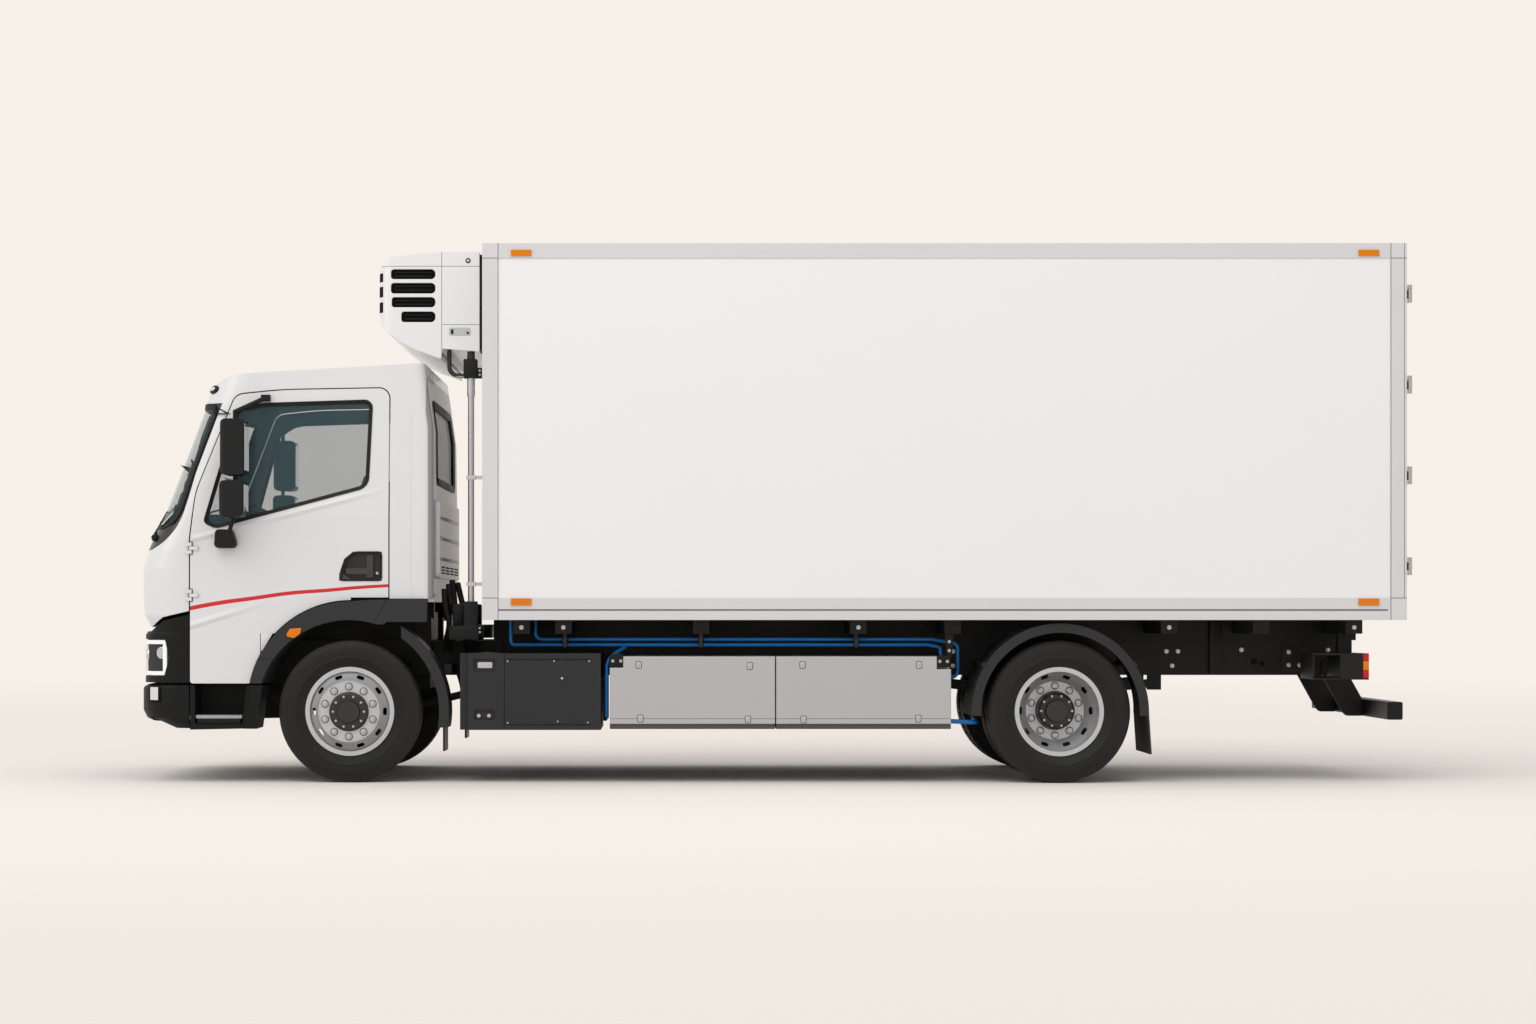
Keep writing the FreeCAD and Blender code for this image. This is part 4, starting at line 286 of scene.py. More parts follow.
# distance from the nearer axle's line
def axleDistance(material):
    at = parts(material)
    height = at.z - axleZ
    reaches = []
    for axleX in (frontAxleX, rearAxleX):
        along = at.x - axleX
        reaches.append(along.scaled(along, height * height).through("SQRT"))
    return reaches[0].through("MINIMUM", reaches[1])


tyreFinish = {"dustDepth": 0.05, "dust": 0.55, "dustColour": (0.055, 0.052, 0.047), "rings": 900,
              "sidewall": (0.345, 0.405)}
rimFinish = {"hub": 0.1325, "hubColour": (0.014, 0.014, 0.015), "deepRingShade": (0.19, 0.235),
             "deepRingShadeColour": (0.20, 0.195, 0.19)}


# rubber with fine rings on the sidewall and a little dust towards the tread
def makeTyreMaterial():
    material = darkFinish("tyreRubber", 0.008, 0.013, 0.55, 500, 0.25)
    radius = axleDistance(material)
    dust = radius.spread(tyreRadius - tyreFinish["dustDepth"], tyreRadius, 0.0, tyreFinish["dust"])
    paintOver(material, dust * noise(material, 14, 4.0), tyreFinish["dustColour"], 0.8)
    rings = (radius * tyreFinish["rings"]).through("SINE")
    addBump(material, rings * radius.within(*tyreFinish["sidewall"]), 0.25, 0.0008)


def makeRimMaterial():
    material = finished("rimPaint", (0.56, 0.565, 0.58), (0.50, 0.505, 0.52), 0.32, 300, 0.08, 0.0004, 0.5)
    radius = axleDistance(material)
    # a patchy darker ring over the deep part of the rim: painted shade of that ring
    deepRingShade = noise(material, 7, 5.0) * radius.within(*rimFinish["deepRingShade"])
    paintOver(material, deepRingShade.spread(0.4, 0.9, 0.0, 0.5), rimFinish["deepRingShadeColour"], 0.6)
    paintOver(material, radius < rimFinish["hub"], rimFinish["hubColour"], 0.4, 0.0)


# a smooth line through places and the values that belong to them
def valueAlong(along, points, low, high):
    first, last = points[0][0], points[-1][0]
    line = addNode(along.material, "ShaderNodeFloatCurve")
    curve = line.mapping.curves[0]
    for i, (place, value) in enumerate(points):
        spot = ((place - first) / (last - first), (value - low) / (high - low))
        if i == 0:
            curve.points[0].location = spot
        elif i == len(points) - 1:
            curve.points[-1].location = spot
        else:
            curve.points.new(*spot)
    line.mapping.update()
    share = (along - first) / (last - first)
    feed(line.inputs["Value"], share)
    return Value(along.material, line.outputs[0]).scaled(high - low, low), share


stripe = {
    "points": ((-3.92, 1.157), (-3.674, 1.204), (-3.435, 1.237), (-3.196, 1.270), (-2.942, 1.289), (-2.748, 1.307),
               (-2.53, 1.320)),
    "range": (1.1, 1.4), "x": (-3.872, -2.541), "outside": 1.1375,
    "halfFront": 0.0145, "halfRear": 0.0105,
    "colour": (0.58, 0.001, 0.005),
}
screenPaint = {
    "edge": ((1.560, -4.150), (1.659, -4.008), (1.766, -3.936), (1.888, -3.893), (2.104, -3.832), (2.549, -3.668)),
    "range": (-4.2, -3.6), "z": (1.560, 2.549),
}
creases = {
    "belt": {"x": -3.850, "z": 1.632, "slope": 0.259, "wide": 0.028, "high": 0.0100, "from": -3.86, "to": -2.50},
    "sill": {"x": -3.868, "z": 1.050, "slope": 0.310, "wide": 0.030, "high": 0.0100, "from": -3.87, "to": -3.30},
    "fade": 0.35, "quarterX": -2.385, "quarter": (1.24, 2.47), "quarterHalf": 0.012, "quarterDeep": -0.003,
    "outside": 1.0,
}
pocket = {
    "outline": ((-2.874, 1.350), (-2.584, 1.350), (-2.584, 1.549), (-2.768, 1.549), (-2.830, 1.500)),
    "cover": ((-2.873, 1.395), (-2.838, 1.498), (-2.776, 1.549), (-2.873, 1.549)),
    "bowl": ((-2.872, 1.352), (-2.587, 1.547)), "outside": 1.10, "rim": 1.140,
    "floor": 1.1205, "round": 0.026, "flange": 0.013, "proud": 0.0018, "thick": 0.0035,
    "coverDepth": (-0.006, 0.0015), "cornerDepth": (-0.030, -0.0002),
    "lock": (-2.618, 1.403), "lockRadius": 0.0095, "lockFace": 1.148,
}
rearFace = {"x": -2.30, "colour": (0.30, 0.302, 0.31)}
insideShadeColour = (0.050, 0.051, 0.054)


# 1 where a face looks back to the middle of the cab, with the parts of its normal
def insideMask(material):
    normal = addNode(material, "ShaderNodeTexCoord").outputs["Normal"]
    away = addNode(material, "ShaderNodeVectorMath", operation="SUBTRACT")
    feed(away.inputs[0], objectPoint(material))
    away.inputs[1].default_value = cabCentre
    dot = addNode(material, "ShaderNodeVectorMath", operation="DOT_PRODUCT")
    feed(dot.inputs[0], away.outputs[0])
    feed(dot.inputs[1], normal)
    return Value(material, dot.outputs["Value"]) < 0.0, parts(material, normal)


def ridge(at, form):
    off = abs(at.z - (at.x - form["x"]).scaled(form["slope"], form["z"]))
    height = off.spread(0.0, form["wide"], form["high"], 0.0)
    fade = at.x.spread(form["to"] - creases["fade"], form["to"], 1.0, 0.0)
    return height * fade * (at.x > form["from"])


# gloss white with the stripe, the black screen surround, the body creases, a grey rear wall and painted shade on the
# inside faces
def makeCabPaint():
    material = finished("cabPaint", *whites["cab"], **cabGloss, edge=0.003)
    at = parts(material)
    wide = abs(at.y)
    centre, share = valueAlong(at.x, stripe["points"], *stripe["range"])
    half = share.scaled(stripe["halfRear"] - stripe["halfFront"], stripe["halfFront"])
    onStripe = at.z.near(centre, half) & (wide > stripe["outside"]) & at.x.within(*stripe["x"])
    paintOver(material, onStripe, stripe["colour"])
    edgeX = valueAlong(at.z, screenPaint["edge"], *screenPaint["range"])[0]
    paintOver(material, (at.x < edgeX) & at.z.within(*screenPaint["z"]), blackPaint, 0.35)
    (x0, z0), (x1, z1) = pocket["bowl"]
    bowl = at.x.within(x0, x1) & at.z.within(z0, z1) & (wide > pocket["outside"])
    paintOver(material, bowl, (0.022, 0.022, 0.023), 0.4)
    # deeper in the pocket the paint goes near-black: painted shade in the recess
    paintOver(material, bowl & (wide < pocket["rim"]), (0.002, 0.002, 0.002), 0.6)
    inside, normal = insideMask(material)
    # faces looking rearwards are painted mid-grey: the rear wall's grey paint together with painted shade in the gap
    # to the box
    paintOver(material, (at.x > rearFace["x"]) & (normal.x > 0.5), rearFace["colour"], 0.45)
    # faces looking into the cab are painted near-black: painted shade of the closed cab
    paintOver(material, inside, insideShadeColour, 0.7)
    dip = abs(at.x - creases["quarterX"]).spread(0.0, creases["quarterHalf"], creases["quarterDeep"], 0.0)
    form = ridge(at, creases["belt"]) + ridge(at, creases["sill"]) + dip * at.z.within(*creases["quarter"])
    addBump(material, form * (wide > creases["outside"]), 1.0, 1.0)


jointColour = (0.035, 0.035, 0.037)
profileForm = {"joint": 0.0022, "seal": 0.0018, "sealIn": 0.016, "frontPost": 0.106, "topRail": 0.100,
               "sillTop": 0.146, "groove": 0.060, "grooveWide": 0.012, "grooveShadeColour": (0.20, 0.20, 0.21)}


# satin aluminium strips with the dark joints between them
def makeProfile():
    material = finished("profile", (0.67, 0.674, 0.69), (0.63, 0.634, 0.65), 0.36, 420, 0.06, 0.0003, 0.35,
                        (0.04, 1, 1), edge=0.003)
    at, joint = parts(material), profileForm["joint"]
    front, high = boxFrontX + profileForm["frontPost"], boxBottom + profileForm["sillTop"]
    low = boxBottom + profileForm["groove"]
    corners = at.x.near(front, joint) | at.x.near(postX, joint)
    heights = at.z.near(boxTop - profileForm["topRail"], joint) | at.z.near(high, joint)
    atPosts = (at.x < front) | (at.x > postX)
    seal = at.x.near(boxRearX - profileForm["sealIn"], profileForm["seal"]) & (at.z > high)
    paintOver(material, corners | (heights & atPosts) | seal, jointColour, 0.6, 0.0)
    # the groove along the sill is painted grey: painted shade in the groove
    groove = at.z.within(low, low + profileForm["grooveWide"]) & at.x.within(front, postX - 0.02)
    paintOver(material, groove, profileForm["grooveShadeColour"], 0.5)
    paintOver(material, at.x > boxRearX + 0.0008, steelColour, 0.35, 0.85)


def makePanel():
    material = finished("bodyPanel", *whites["panel"], 0.34, edge=0.002, Coat_Weight=0.15)
    paintOver(material, parts(material).x > boxRearX - 0.024, steelColour, 0.34, 0.85)


unitSeams = {"x": -2.1976, "high": 3.474, "low": 3.0805, "half": 0.0018, "colour": (0.09, 0.09, 0.095)}


# white cover with the joint lines of its panels
def makeUnitCover():
    material = finished("unitWhite", *whites["unit"], 0.3, edge=0.006, Coat_Weight=0.3)
    at, half = parts(material), unitSeams["half"]
    lower = at.z.near(unitSeams["low"], half) & (at.x > unitSeams["x"])
    joints = at.x.near(unitSeams["x"], half) | at.z.near(unitSeams["high"], half) | lower
    paintOver(material, joints, unitSeams["colour"], 0.7)


plateForm = {"foot": 0.034, "footShadeColour": (0.075, 0.075, 0.078), "joint": 0.431, "half": 0.0015,
             "jointColour": (0.09, 0.09, 0.092), "outside": 1.15}


# aluminium boxes with the joint line, and a dark band along the foot that is painted shade under the inward-turned
# lower edge
def makeBoxPlate():
    material = finished("boxPlate", (0.47, 0.473, 0.478), (0.445, 0.448, 0.455), 0.40, 380, 0.08, 0.0003, 0.35,
                        (0.05, 1, 1), edge=0.010)
    at = parts(material)
    paintOver(material, at.z < batteryBox[0].z + plateForm["foot"], plateForm["footShadeColour"], 0.5)
    joint = at.z.near(plateForm["joint"], plateForm["half"]) & (abs(at.y) > plateForm["outside"])
    paintOver(material, joint, plateForm["jointColour"], 0.6)


pipeEnds = {"boot": 1.212, "sleeve": 2.735, "colour": (0.012, 0.012, 0.013)}


def makePipeMaterial():
    material = finished("pipeMetal", (0.60, 0.61, 0.62), (0.52, 0.53, 0.54), 0.26, 500, 0.08, 0.0003, 0.9,
                        (1, 1, 0.03))
    z = parts(material).z
    paintOver(material, (z < pipeEnds["boot"]) | (z > pipeEnds["sleeve"]), pipeEnds["colour"], 0.5, 0.0)


trimJoints = {"x": -2.550, "z": 1.229, "slope": 0.566, "half": 0.0022, "above": 1.06,
              "front": (0.8285, 0.002), "before": -3.2, "colour": (0.003, 0.003, 0.003)}


# grey arch trims with the joints of their sections
def makeTrimMaterial():
    material = darkFinish("archTrim", 0.024, 0.030, 0.5, 800, 0.35, edge=0.005)
    at = parts(material)
    slant = (at.z - trimJoints["z"]).scaled(trimJoints["slope"], trimJoints["x"])
    rear = at.x.near(slant, trimJoints["half"]) & (at.z > trimJoints["above"])
    front = at.z.near(*trimJoints["front"]) & (at.x < trimJoints["before"])
    paintOver(material, rear | front, trimJoints["colour"], 0.8)


intake = {"half": 0.52, "z": (0.470, 0.602), "pitch": 0.033, "bar": 0.3, "deep": -0.006,
          "colour": (0.003, 0.003, 0.003)}


# black bumper with the barred air intake in its middle, whose openings between the bars are painted near-black as
# painted shade
def makeBumperMaterial():
    material = darkFinish("bumperPlastic", 0.007, 0.010, 0.46, 900, 0.3, 0.14, 0.006)
    at = parts(material)
    phase = ((at.z - intake["z"][0]) / intake["pitch"]).through("FRACT")
    shadedOpening = at.z.within(*intake["z"]) & (abs(at.y) < intake["half"]) & (phase > intake["bar"])
    paintOver(material, shadedOpening, intake["colour"], 0.8)
    addBump(material, shadedOpening * intake["deep"], 1.0, 1.0)


weave = {"scale": 250, "share": 0.35, "colour": (0.075, 0.076, 0.084), "channels": 0.075, "half": 0.12,
         "deep": -0.004}


def makeSeatCloth():
    material = finished("seatCloth", (0.022, 0.023, 0.027), (0.032, 0.033, 0.038), 0.88, 1500, 0.5, 0.0008,
                        Sheen_Weight=0.3)
    wave = addNode(material, "ShaderNodeTexWave", Vector=objectPoint(material), Scale=weave["scale"], Distortion=0.5)
    paintOver(material, Value(material, wave.outputs["Fac"]) * weave["share"], weave["colour"])
    at = parts(material)
    off = abs(((at.x + at.z) / weave["channels"]).through("FRACT") - 0.5)
    addBump(material, off.spread(0.0, weave["half"], weave["deep"], 0.0), 0.8, 1.0)


makePlainFinishes()
makeBlueLine()
makeTyreMaterial()
makeRimMaterial()
makeCabPaint()
makeProfile()
makePanel()
makeUnitCover()
makeBoxPlate()
makePipeMaterial()
makeTrimMaterial()
makeBumperMaterial()
makeSeatCloth()

nodeFinish = {
    "framePaint": "chassis_frame body_subframe power_unit front_axle_beam rear_axle leaf_springs underrun_guard "
                  "cab_floor tie_rod knuckle_left knuckle_right",
    "blackPlastic": "rear_lamps unit_mount mirror_left mirror_right",
    "bumperPlastic": "front_bumper",
    "frontPlastic": "front_panel step_wells",
    "greyPlastic": "mudguards equipment_boxes",
    "archTrim": "cab_arch_trims",
    "boxPlate": "battery_boxes",
    "blueLine": "coolant_lines",
    "bodyPanel": "box_floor box_wall_left box_wall_right box_wall_front box_roof rear_door_left rear_door_right",
    "profile": "box_edge_profiles rear_door_frame",
    "unitWhite": "cooling_unit evaporator",
    "pipeMetal": "unit_pipes",
    "amber": "marker_lamps",
    "cabPaint": "cab_shell door_left door_right",
    "glass": "cab_glass door_glass_left door_glass_right",
    "lampClear": "head_lamps",
    "trimGrey": "dashboard steering_wheel",
    "seatCloth": "seats",
    "rimPaint": "rim_front_left rim_front_right rim_rear_left rim_rear_right",
    "tyreRubber": "tyre_front_left tyre_front_right tyre_rear_left tyre_rear_right",
}
for finish, names in nodeFinish.items():
    for name in names.split():
        mesh = nodes[name].data
        mesh.materials.clear()
        mesh.materials.append(materials[finish])
print("materials on the frame")


# making pieces

# puts a mesh, a lamp or a camera in the scene
def placed(name, data):
    obj = bpy.data.objects.new(name, data)
    bpy.context.scene.collection.objects.link(obj)
    return obj


def meshFrom(name, bm):
    mesh = bpy.data.meshes.new(name)
    bm.to_mesh(mesh)
    bm.free()
    return mesh


def piece(name, bm, finish, body, angle=35):
    bmesh.ops.remove_doubles(bm, verts=bm.verts, dist=0.00002)
    bmesh.ops.recalc_face_normals(bm, faces=bm.faces)
    mesh = meshFrom(name, bm)
    mesh.materials.append(materials[finish])
    mesh.shade_smooth()
    mesh.set_sharp_from_angle(angle=math.radians(angle))
    obj = placed(name, mesh)
    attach(obj, body)
    return obj


def titled(label):
    return label.title().replace("_", "")


def sharpEdges(faces):
    return [e for e in {e for f in faces for e in f.edges} if len(e.link_faces) == 2 and e.calc_face_angle(0) > 1.0]


def bevelled(bm, edges, offset, segments=2):
    bmesh.ops.bevel(bm, geom=edges, offset=offset, segments=segments, profile=0.5, affect="EDGES", material=-1)


# a box with its edges rounded; corner rounds the four edges across the truck first
def addBox(bm, low, high, bevel=0.0, segments=2, corner=0.0):
    made = bmesh.ops.create_cube(bm, size=1.0)
    verts = made["verts"]
    bmesh.ops.scale(bm, vec=Vector(high) - Vector(low), verts=verts)
    bmesh.ops.translate(bm, vec=(Vector(low) + Vector(high)) / 2, verts=verts)
    faces = {f for v in verts for f in v.link_faces}
    edges = list({e for v in verts for e in v.link_edges})
    if corner:
        along = [e for e in edges if abs((e.verts[1].co - e.verts[0].co).normalized().y) > 0.9]
        done = bmesh.ops.bevel(bm, geom=along, offset=corner, segments=5, profile=0.5, affect="EDGES", material=-1)
        faces = {f for v in done["verts"] for f in v.link_faces} | {f for f in faces if f.is_valid}
        edges = sharpEdges(faces)
    if bevel:
        bevelled(bm, edges, bevel, segments)


def addDisc(bm, radius, start, end, segments=24, bevel=0.0, radiusEnd=None):
    start, end = Vector(start), Vector(end)
    made = bmesh.ops.create_cone(bm, cap_ends=True, segments=segments, radius1=radius,
                                 radius2=radius if radiusEnd is None else radiusEnd, depth=(end - start).length)
    turn = (end - start).to_track_quat("Z", "Y").to_matrix().to_4x4()
    bmesh.ops.transform(bm, matrix=Matrix.Translation((start + end) / 2) @ turn, verts=made["verts"])
    if bevel:
        faces = {f for v in made["verts"] for f in v.link_faces}
        rims = [e for e in sharpEdges(faces) if any(len(f.verts) > 4 for f in e.link_faces)]
        bevelled(bm, rims, bevel)


# a domed oval on a surface, wide along the surface and high up it
def addOval(bm, place, normal, width, height, depth):
    made = bmesh.ops.create_uvsphere(bm, u_segments=28, v_segments=14, radius=1.0)
    out = normal.normalized()
    across = Vector((0, 0, 1)).cross(out).normalized()
    up = out.cross(across)
    turn = Matrix((across * width / 2, up * height / 2, out * depth)).transposed().to_4x4()
    bmesh.ops.transform(bm, matrix=Matrix.Translation(place) @ turn, verts=made["verts"])


# a hexagon bolt head with its washer, standing out from a face
def addBolt(bm, place, outward, radius):
    place, outward = Vector(place), Vector(outward)
    addDisc(bm, radius * 1.5, place - outward * 0.001, place + outward * radius * 0.25, 16)
    addDisc(bm, radius, place, place + outward * radius * 0.95, 6, radius * 0.12)


def around(place, half):
    return place - half, place + half


# two distances from the truck's middle as a range on one side; sign is -1 on the left and 1 on the right
def onSide(sign, y):
    return sorted(sign * value for value in y)


def sideBox(bm, sign, x, y, z, bevel=0.0, segments=2, corner=0.0):
    low, high = zip(x, onSide(sign, y), z)
    addBox(bm, low, high, bevel, segments, corner)


def sideDisc(bm, sign, radius, x, y, z, segments=24, bevel=0.0):
    addDisc(bm, radius, (x, sign * y[0], z), (x, sign * y[1], z), segments, bevel)


def sideBolt(bm, sign, radius, x, y, z):
    addBolt(bm, (x, sign * y, z), (0, sign, 0), radius)


# a second layer over faces, joined to them at their border
def secondLayer(bm, faces):
    made = bmesh.ops.extrude_face_region(bm, geom=faces, use_keep_orig=True)
    return [v for v in made["geom"] if isinstance(v, bmesh.types.BMVert)]


# gives a flat face thickness
def raisedFace(bm, face, offset, bevel=0.0):
    base, moved = face.verts[:], secondLayer(bm, [face])
    bmesh.ops.translate(bm, vec=offset, verts=moved)
    if bevel:
        bevelled(bm, sharpEdges({f for v in base + moved for f in v.link_faces}), bevel)


# a plate with a given outline in the side view, from y0 to y1
def addOutline(bm, points, y0, y1, bevel=0.0):
    face = bm.faces.new([bm.verts.new((x, y0, z)) for x, z in points])
    raisedFace(bm, face, (0, y1 - y0, 0), bevel)


# turns a profile of (radius, offset along Y) round a line along Y
def spun(bm, profile, axisPoint, steps):
    verts = [bm.verts.new(Vector(axisPoint) + Vector((0, y, r))) for r, y in profile]
    edges = [bm.edges.new((a, b)) for a, b in zip(verts, verts[1:] + verts[:1])]
    bmesh.ops.spin(bm, geom=verts + edges, cent=axisPoint, axis=(0, 1, 0), angle=math.tau, steps=steps,
                   use_merge=True)


# the faces of a node that a test keeps, as a mesh of their own
def skinOf(name, keep):
    bm = bmesh.new()
    bm.from_mesh(nodes[name].data)
    bmesh.ops.remove_doubles(bm, verts=bm.verts, dist=0.00005)
    bmesh.ops.delete(bm, geom=[f for f in bm.faces if not keep(f)], context="FACES")
    return bm


# cuts a skin down to a window given as ranges along the axes
def trimTo(bm, x=None, y=None, z=None):
    for axis, span in enumerate((x, y, z)):
        if span is None:
            continue
        for limit, sign in zip(span, (-1, 1)):
            point, normal = Vector((0, 0, 0)), Vector((0, 0, 0))
            point[axis], normal[axis] = limit, sign
            bmesh.ops.bisect_plane(bm, geom=bm.verts[:] + bm.edges[:] + bm.faces[:], plane_co=point, plane_no=normal,
                                   clear_outer=True)


# lifts a skin off what it was taken from and gives it thickness
def thicken(bm, lift, thickness):
    bm.normal_update()
    for vert in bm.verts:
        vert.co += vert.normal * lift
    moved = secondLayer(bm, bm.faces[:])
    bm.normal_update()
    for vert in moved:
        vert.co += vert.normal * thickness


# adds a skin, lifted and thickened, to another mesh
def joinPatch(target, bm, lift, thickness):
    thicken(bm, lift, thickness)
    mesh = meshFrom("patch", bm)
    target.from_mesh(mesh)
    bpy.data.meshes.remove(mesh)


# a band along the border of a skin, from outset beyond it to inset within it
def borderBand(bm, outset, inset, rise=0.0):
    bm.normal_update()
    ring = set(bmesh.ops.inset_region(bm, faces=bm.faces[:], thickness=inset, use_boundary=True,
                                      use_even_offset=True)["faces"])
    outer = {v for e in bm.edges if len(e.link_faces) == 1 for v in e.verts}
    bmesh.ops.delete(bm, geom=[f for f in bm.faces if f not in ring], context="FACES")
    for vert in outer:
        across = [e.other_vert(vert) for e in vert.link_edges if e.other_vert(vert) not in outer]
        if across:
            vert.co += (vert.co - across[0].co).normalized() * outset + vert.normal * rise


def tubeAlong(name, points, radius, finish, body, cyclic=False):
    curve = bpy.data.curves.new(name, "CURVE")
    curve.dimensions = "3D"
    curve.bevel_depth = radius
    curve.bevel_resolution = 3
    curve.use_fill_caps = True
    spline = curve.splines.new("NURBS")
    spline.points.add(len(points) - 1)
    for point, place in zip(spline.points, points):
        point.co = (*place, 1)
    spline.order_u = 3
    spline.use_endpoint_u = not cyclic
    spline.use_cyclic_u = cyclic
    path = placed(name, curve)
    mesh = bpy.data.meshes.new_from_object(path.evaluated_get(bpy.context.evaluated_depsgraph_get()))
    bpy.data.objects.remove(path)
    bpy.data.curves.remove(curve)
    mesh.name = name
    mesh.materials.clear()
    mesh.materials.append(materials[finish])
    mesh.shade_smooth()
    obj = placed(name, mesh)
    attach(obj, body)
    return obj


# the surfaces of nodes, for finding where a line meets them
def treeOf(*names):
    bm = bmesh.new()
    for name in names:
        bm.from_mesh(nodes[name].data)
    tree = BVHTree.FromBMesh(bm)
    bm.free()
    return tree


# wheels

wheelBodies = []
for side, sign in sides:
    wheelBodies.append((f"front_{side}", sign, frontAxleX, (frontWheelY,)))
    wheelBodies.append((f"rear_{side}", sign, rearAxleX, (rearHubY + dualHalf, rearHubY - dualHalf)))

tyreForm = {
    "steps": 120,
    "grooveDepth": 0.013, "grooveHalf": 0.006, "grooves": (-0.072, -0.026, 0.026, 0.072),
    "treadHalf": 0.108, "bead": 0.2985, "beadHalf": 0.0985,
    "wall": ((0.022, 0.014), (0.040, 0.0075), (0.062, 0.0035), (0.085, 0.0005), (0.108, 0.0035), (0.113, 0.0012),
             (0.117, 0.0012), (0.122, 0.006), (0.142, 0.015), (0.158, 0.0265)),
    "notch": 0.0045, "notchDepth": 0.007, "notchIn": 0.012, "notchHalf": 0.016, "notchReach": 0.006,
}


# the section from one bead over the crown to the other
def tyreProfile(form):
    top, half = tyreRadius, form["grooveHalf"]
    crown = [(top - 0.004, -form["treadHalf"])]
    for y in form["grooves"]:
        for dy, drop in ((-half - 0.001, 0), (-half + 0.0015, 1), (half - 0.0015, 1), (half + 0.001, 0)):
            crown.append((top - 0.0022 * (abs(y) / 0.1) ** 2 - drop * form["grooveDepth"], y + dy))
    crown.append((top - 0.004, form["treadHalf"]))
    w = tyreWidth / 2
    side = [(top - 0.012, form["treadHalf"] + 0.006)] + [(top - drop, w - inset) for drop, inset in form["wall"]]
    bead = form["bead"]
    side += [(bead + 0.006, w - 0.0325), (bead, w - 0.0335), (bead - 0.010, form["beadHalf"])]
    return [(r, -y) for r, y in reversed(side)] + crown + side


def makeTyre(name, body, x, y):
    bm = bmesh.new()
    spun(bm, tyreProfile(tyreForm), (x, y, axleZ), tyreForm["steps"])
    bmesh.ops.recalc_face_normals(bm, faces=bm.faces)
    # notches across the shoulders, every second step
    chosen = []
    for face in bm.faces:
        c = face.calc_center_median()
        reach = math.hypot(c.x - x, c.z - axleZ)
        step = math.degrees(math.atan2(c.x - x, c.z - axleZ)) / (360 / tyreForm["steps"])
        onShoulder = abs(abs(c.y - y) - (tyreForm["treadHalf"] - tyreForm["notchIn"])) < tyreForm["notchHalf"]
        if onShoulder and reach > tyreRadius - tyreForm["notchReach"] and math.floor(step) % 2 == 0:
            chosen.append(face)
    bmesh.ops.inset_individual(bm, faces=chosen, thickness=tyreForm["notch"], depth=0.0)
    for face in chosen:
        c = face.calc_center_median()
        inwards = Vector((x - c.x, 0, axleZ - c.z)).normalized()
        bmesh.ops.translate(bm, vec=inwards * tyreForm["notchDepth"], verts=face.verts)
    return piece(name, bm, "tyreRubber", body, angle=28)


# seat sizes the dark disc under each nut, which is a painted shadow round the nut
nuts = {"circle": 0.1675, "count": 10, "across": 0.033, "height": 0.028, "front": 0.155, "rear": 0.014,
        "seat": (0.80, 0.0015), "washer": (0.66, 0.005), "stud": (0.0105, 0.009)}
hubBolts = {"circle": 0.104, "count": 10, "radius": 0.0085, "height": 0.008, "front": 0.181, "rear": 0.115}


# places round the middle of a wheel
def placesRound(x, form, start=0.0):
    for k in range(form["count"]):
        turn = math.tau * (k + start) / form["count"]
        yield x + form["circle"] * math.sin(turn), axleZ + form["circle"] * math.cos(turn)


def makeNuts(label, sign, axleX, y):
    bm, seat = bmesh.new(), bmesh.new()
    across, top = nuts["across"], y + nuts["height"]
    shadowShare, shadowHeight = nuts["seat"]
    washerShare, washerHeight = nuts["washer"]
    studRadius, studHeight = nuts["stud"]
    for x, z in placesRound(axleX, nuts):
        # dark disc a little wider than the washer: painted shadow round the nut
        sideDisc(seat, sign, across * shadowShare, x, (y - 0.001, y + shadowHeight), z)
        sideDisc(bm, sign, across * washerShare, x, (y - 0.001, y + washerHeight), z, 20, 0.001)
        sideDisc(bm, sign, across / math.sqrt(3), x, (y, top), z, 6, 0.002)
        sideDisc(bm, sign, studRadius, x, (y, top + studHeight), z, 14, 0.0015)
    piece(f"nuts{titled(label)}", bm, "bolt", f"wheel_{label}")
    piece(f"nutShadows{titled(label)}", seat, "greyPlastic", f"wheel_{label}")


def makeHubBolts(label, sign, axleX, y):
    bm = bmesh.new()
    for x, z in placesRound(axleX, hubBolts, 0.5):
        sideDisc(bm, sign, hubBolts["radius"], x, (y - 0.002, y + hubBolts["height"]), z, 6, 0.001)
    piece(f"hubBolts{titled(label)}", bm, "bolt", f"wheel_{label}")


for label, sign, x, offsets in wheelBodies:
    for i, offset in enumerate(offsets):
        obj = makeTyre(f"tyre{titled(label)}{i}", f"wheel_{label}", x, sign * offset)
        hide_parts(f"tyre_{label}")
    end, hubY = ("front", frontWheelY) if label.startswith("front") else ("rear", rearHubY)
    makeNuts(label, sign, x, hubY + nuts[end])
    makeHubBolts(label, sign, x, hubY + hubBolts[end])
print("wheels")


# glass seals

seals = {"lift": 0.0006, "rise": 0.0095, "thick": 0.0035, "thickRear": 0.006, "side": (0.008, 0.017),
         "screen": (0.010, 0.026), "rear": (0.022, 0.030)}


def sealBand(name, skin, band, body, thick=seals["thick"]):
    borderBand(skin, *band, seals["rise"])
    thicken(skin, seals["lift"], thick)
    piece(name, skin, "rubber", body, angle=50)


screenFaces = {"before": -3.4, "steep": 0.62, "back": 0.25}


def isScreen(face):
    c, n = face.calc_center_median(), face.normal
    inFront = c.x < screenFaces["before"] and n.x < screenFaces["back"]
    return inFront and n.dot(c - cabCentre) > 0 and abs(n.z) < screenFaces["steep"]


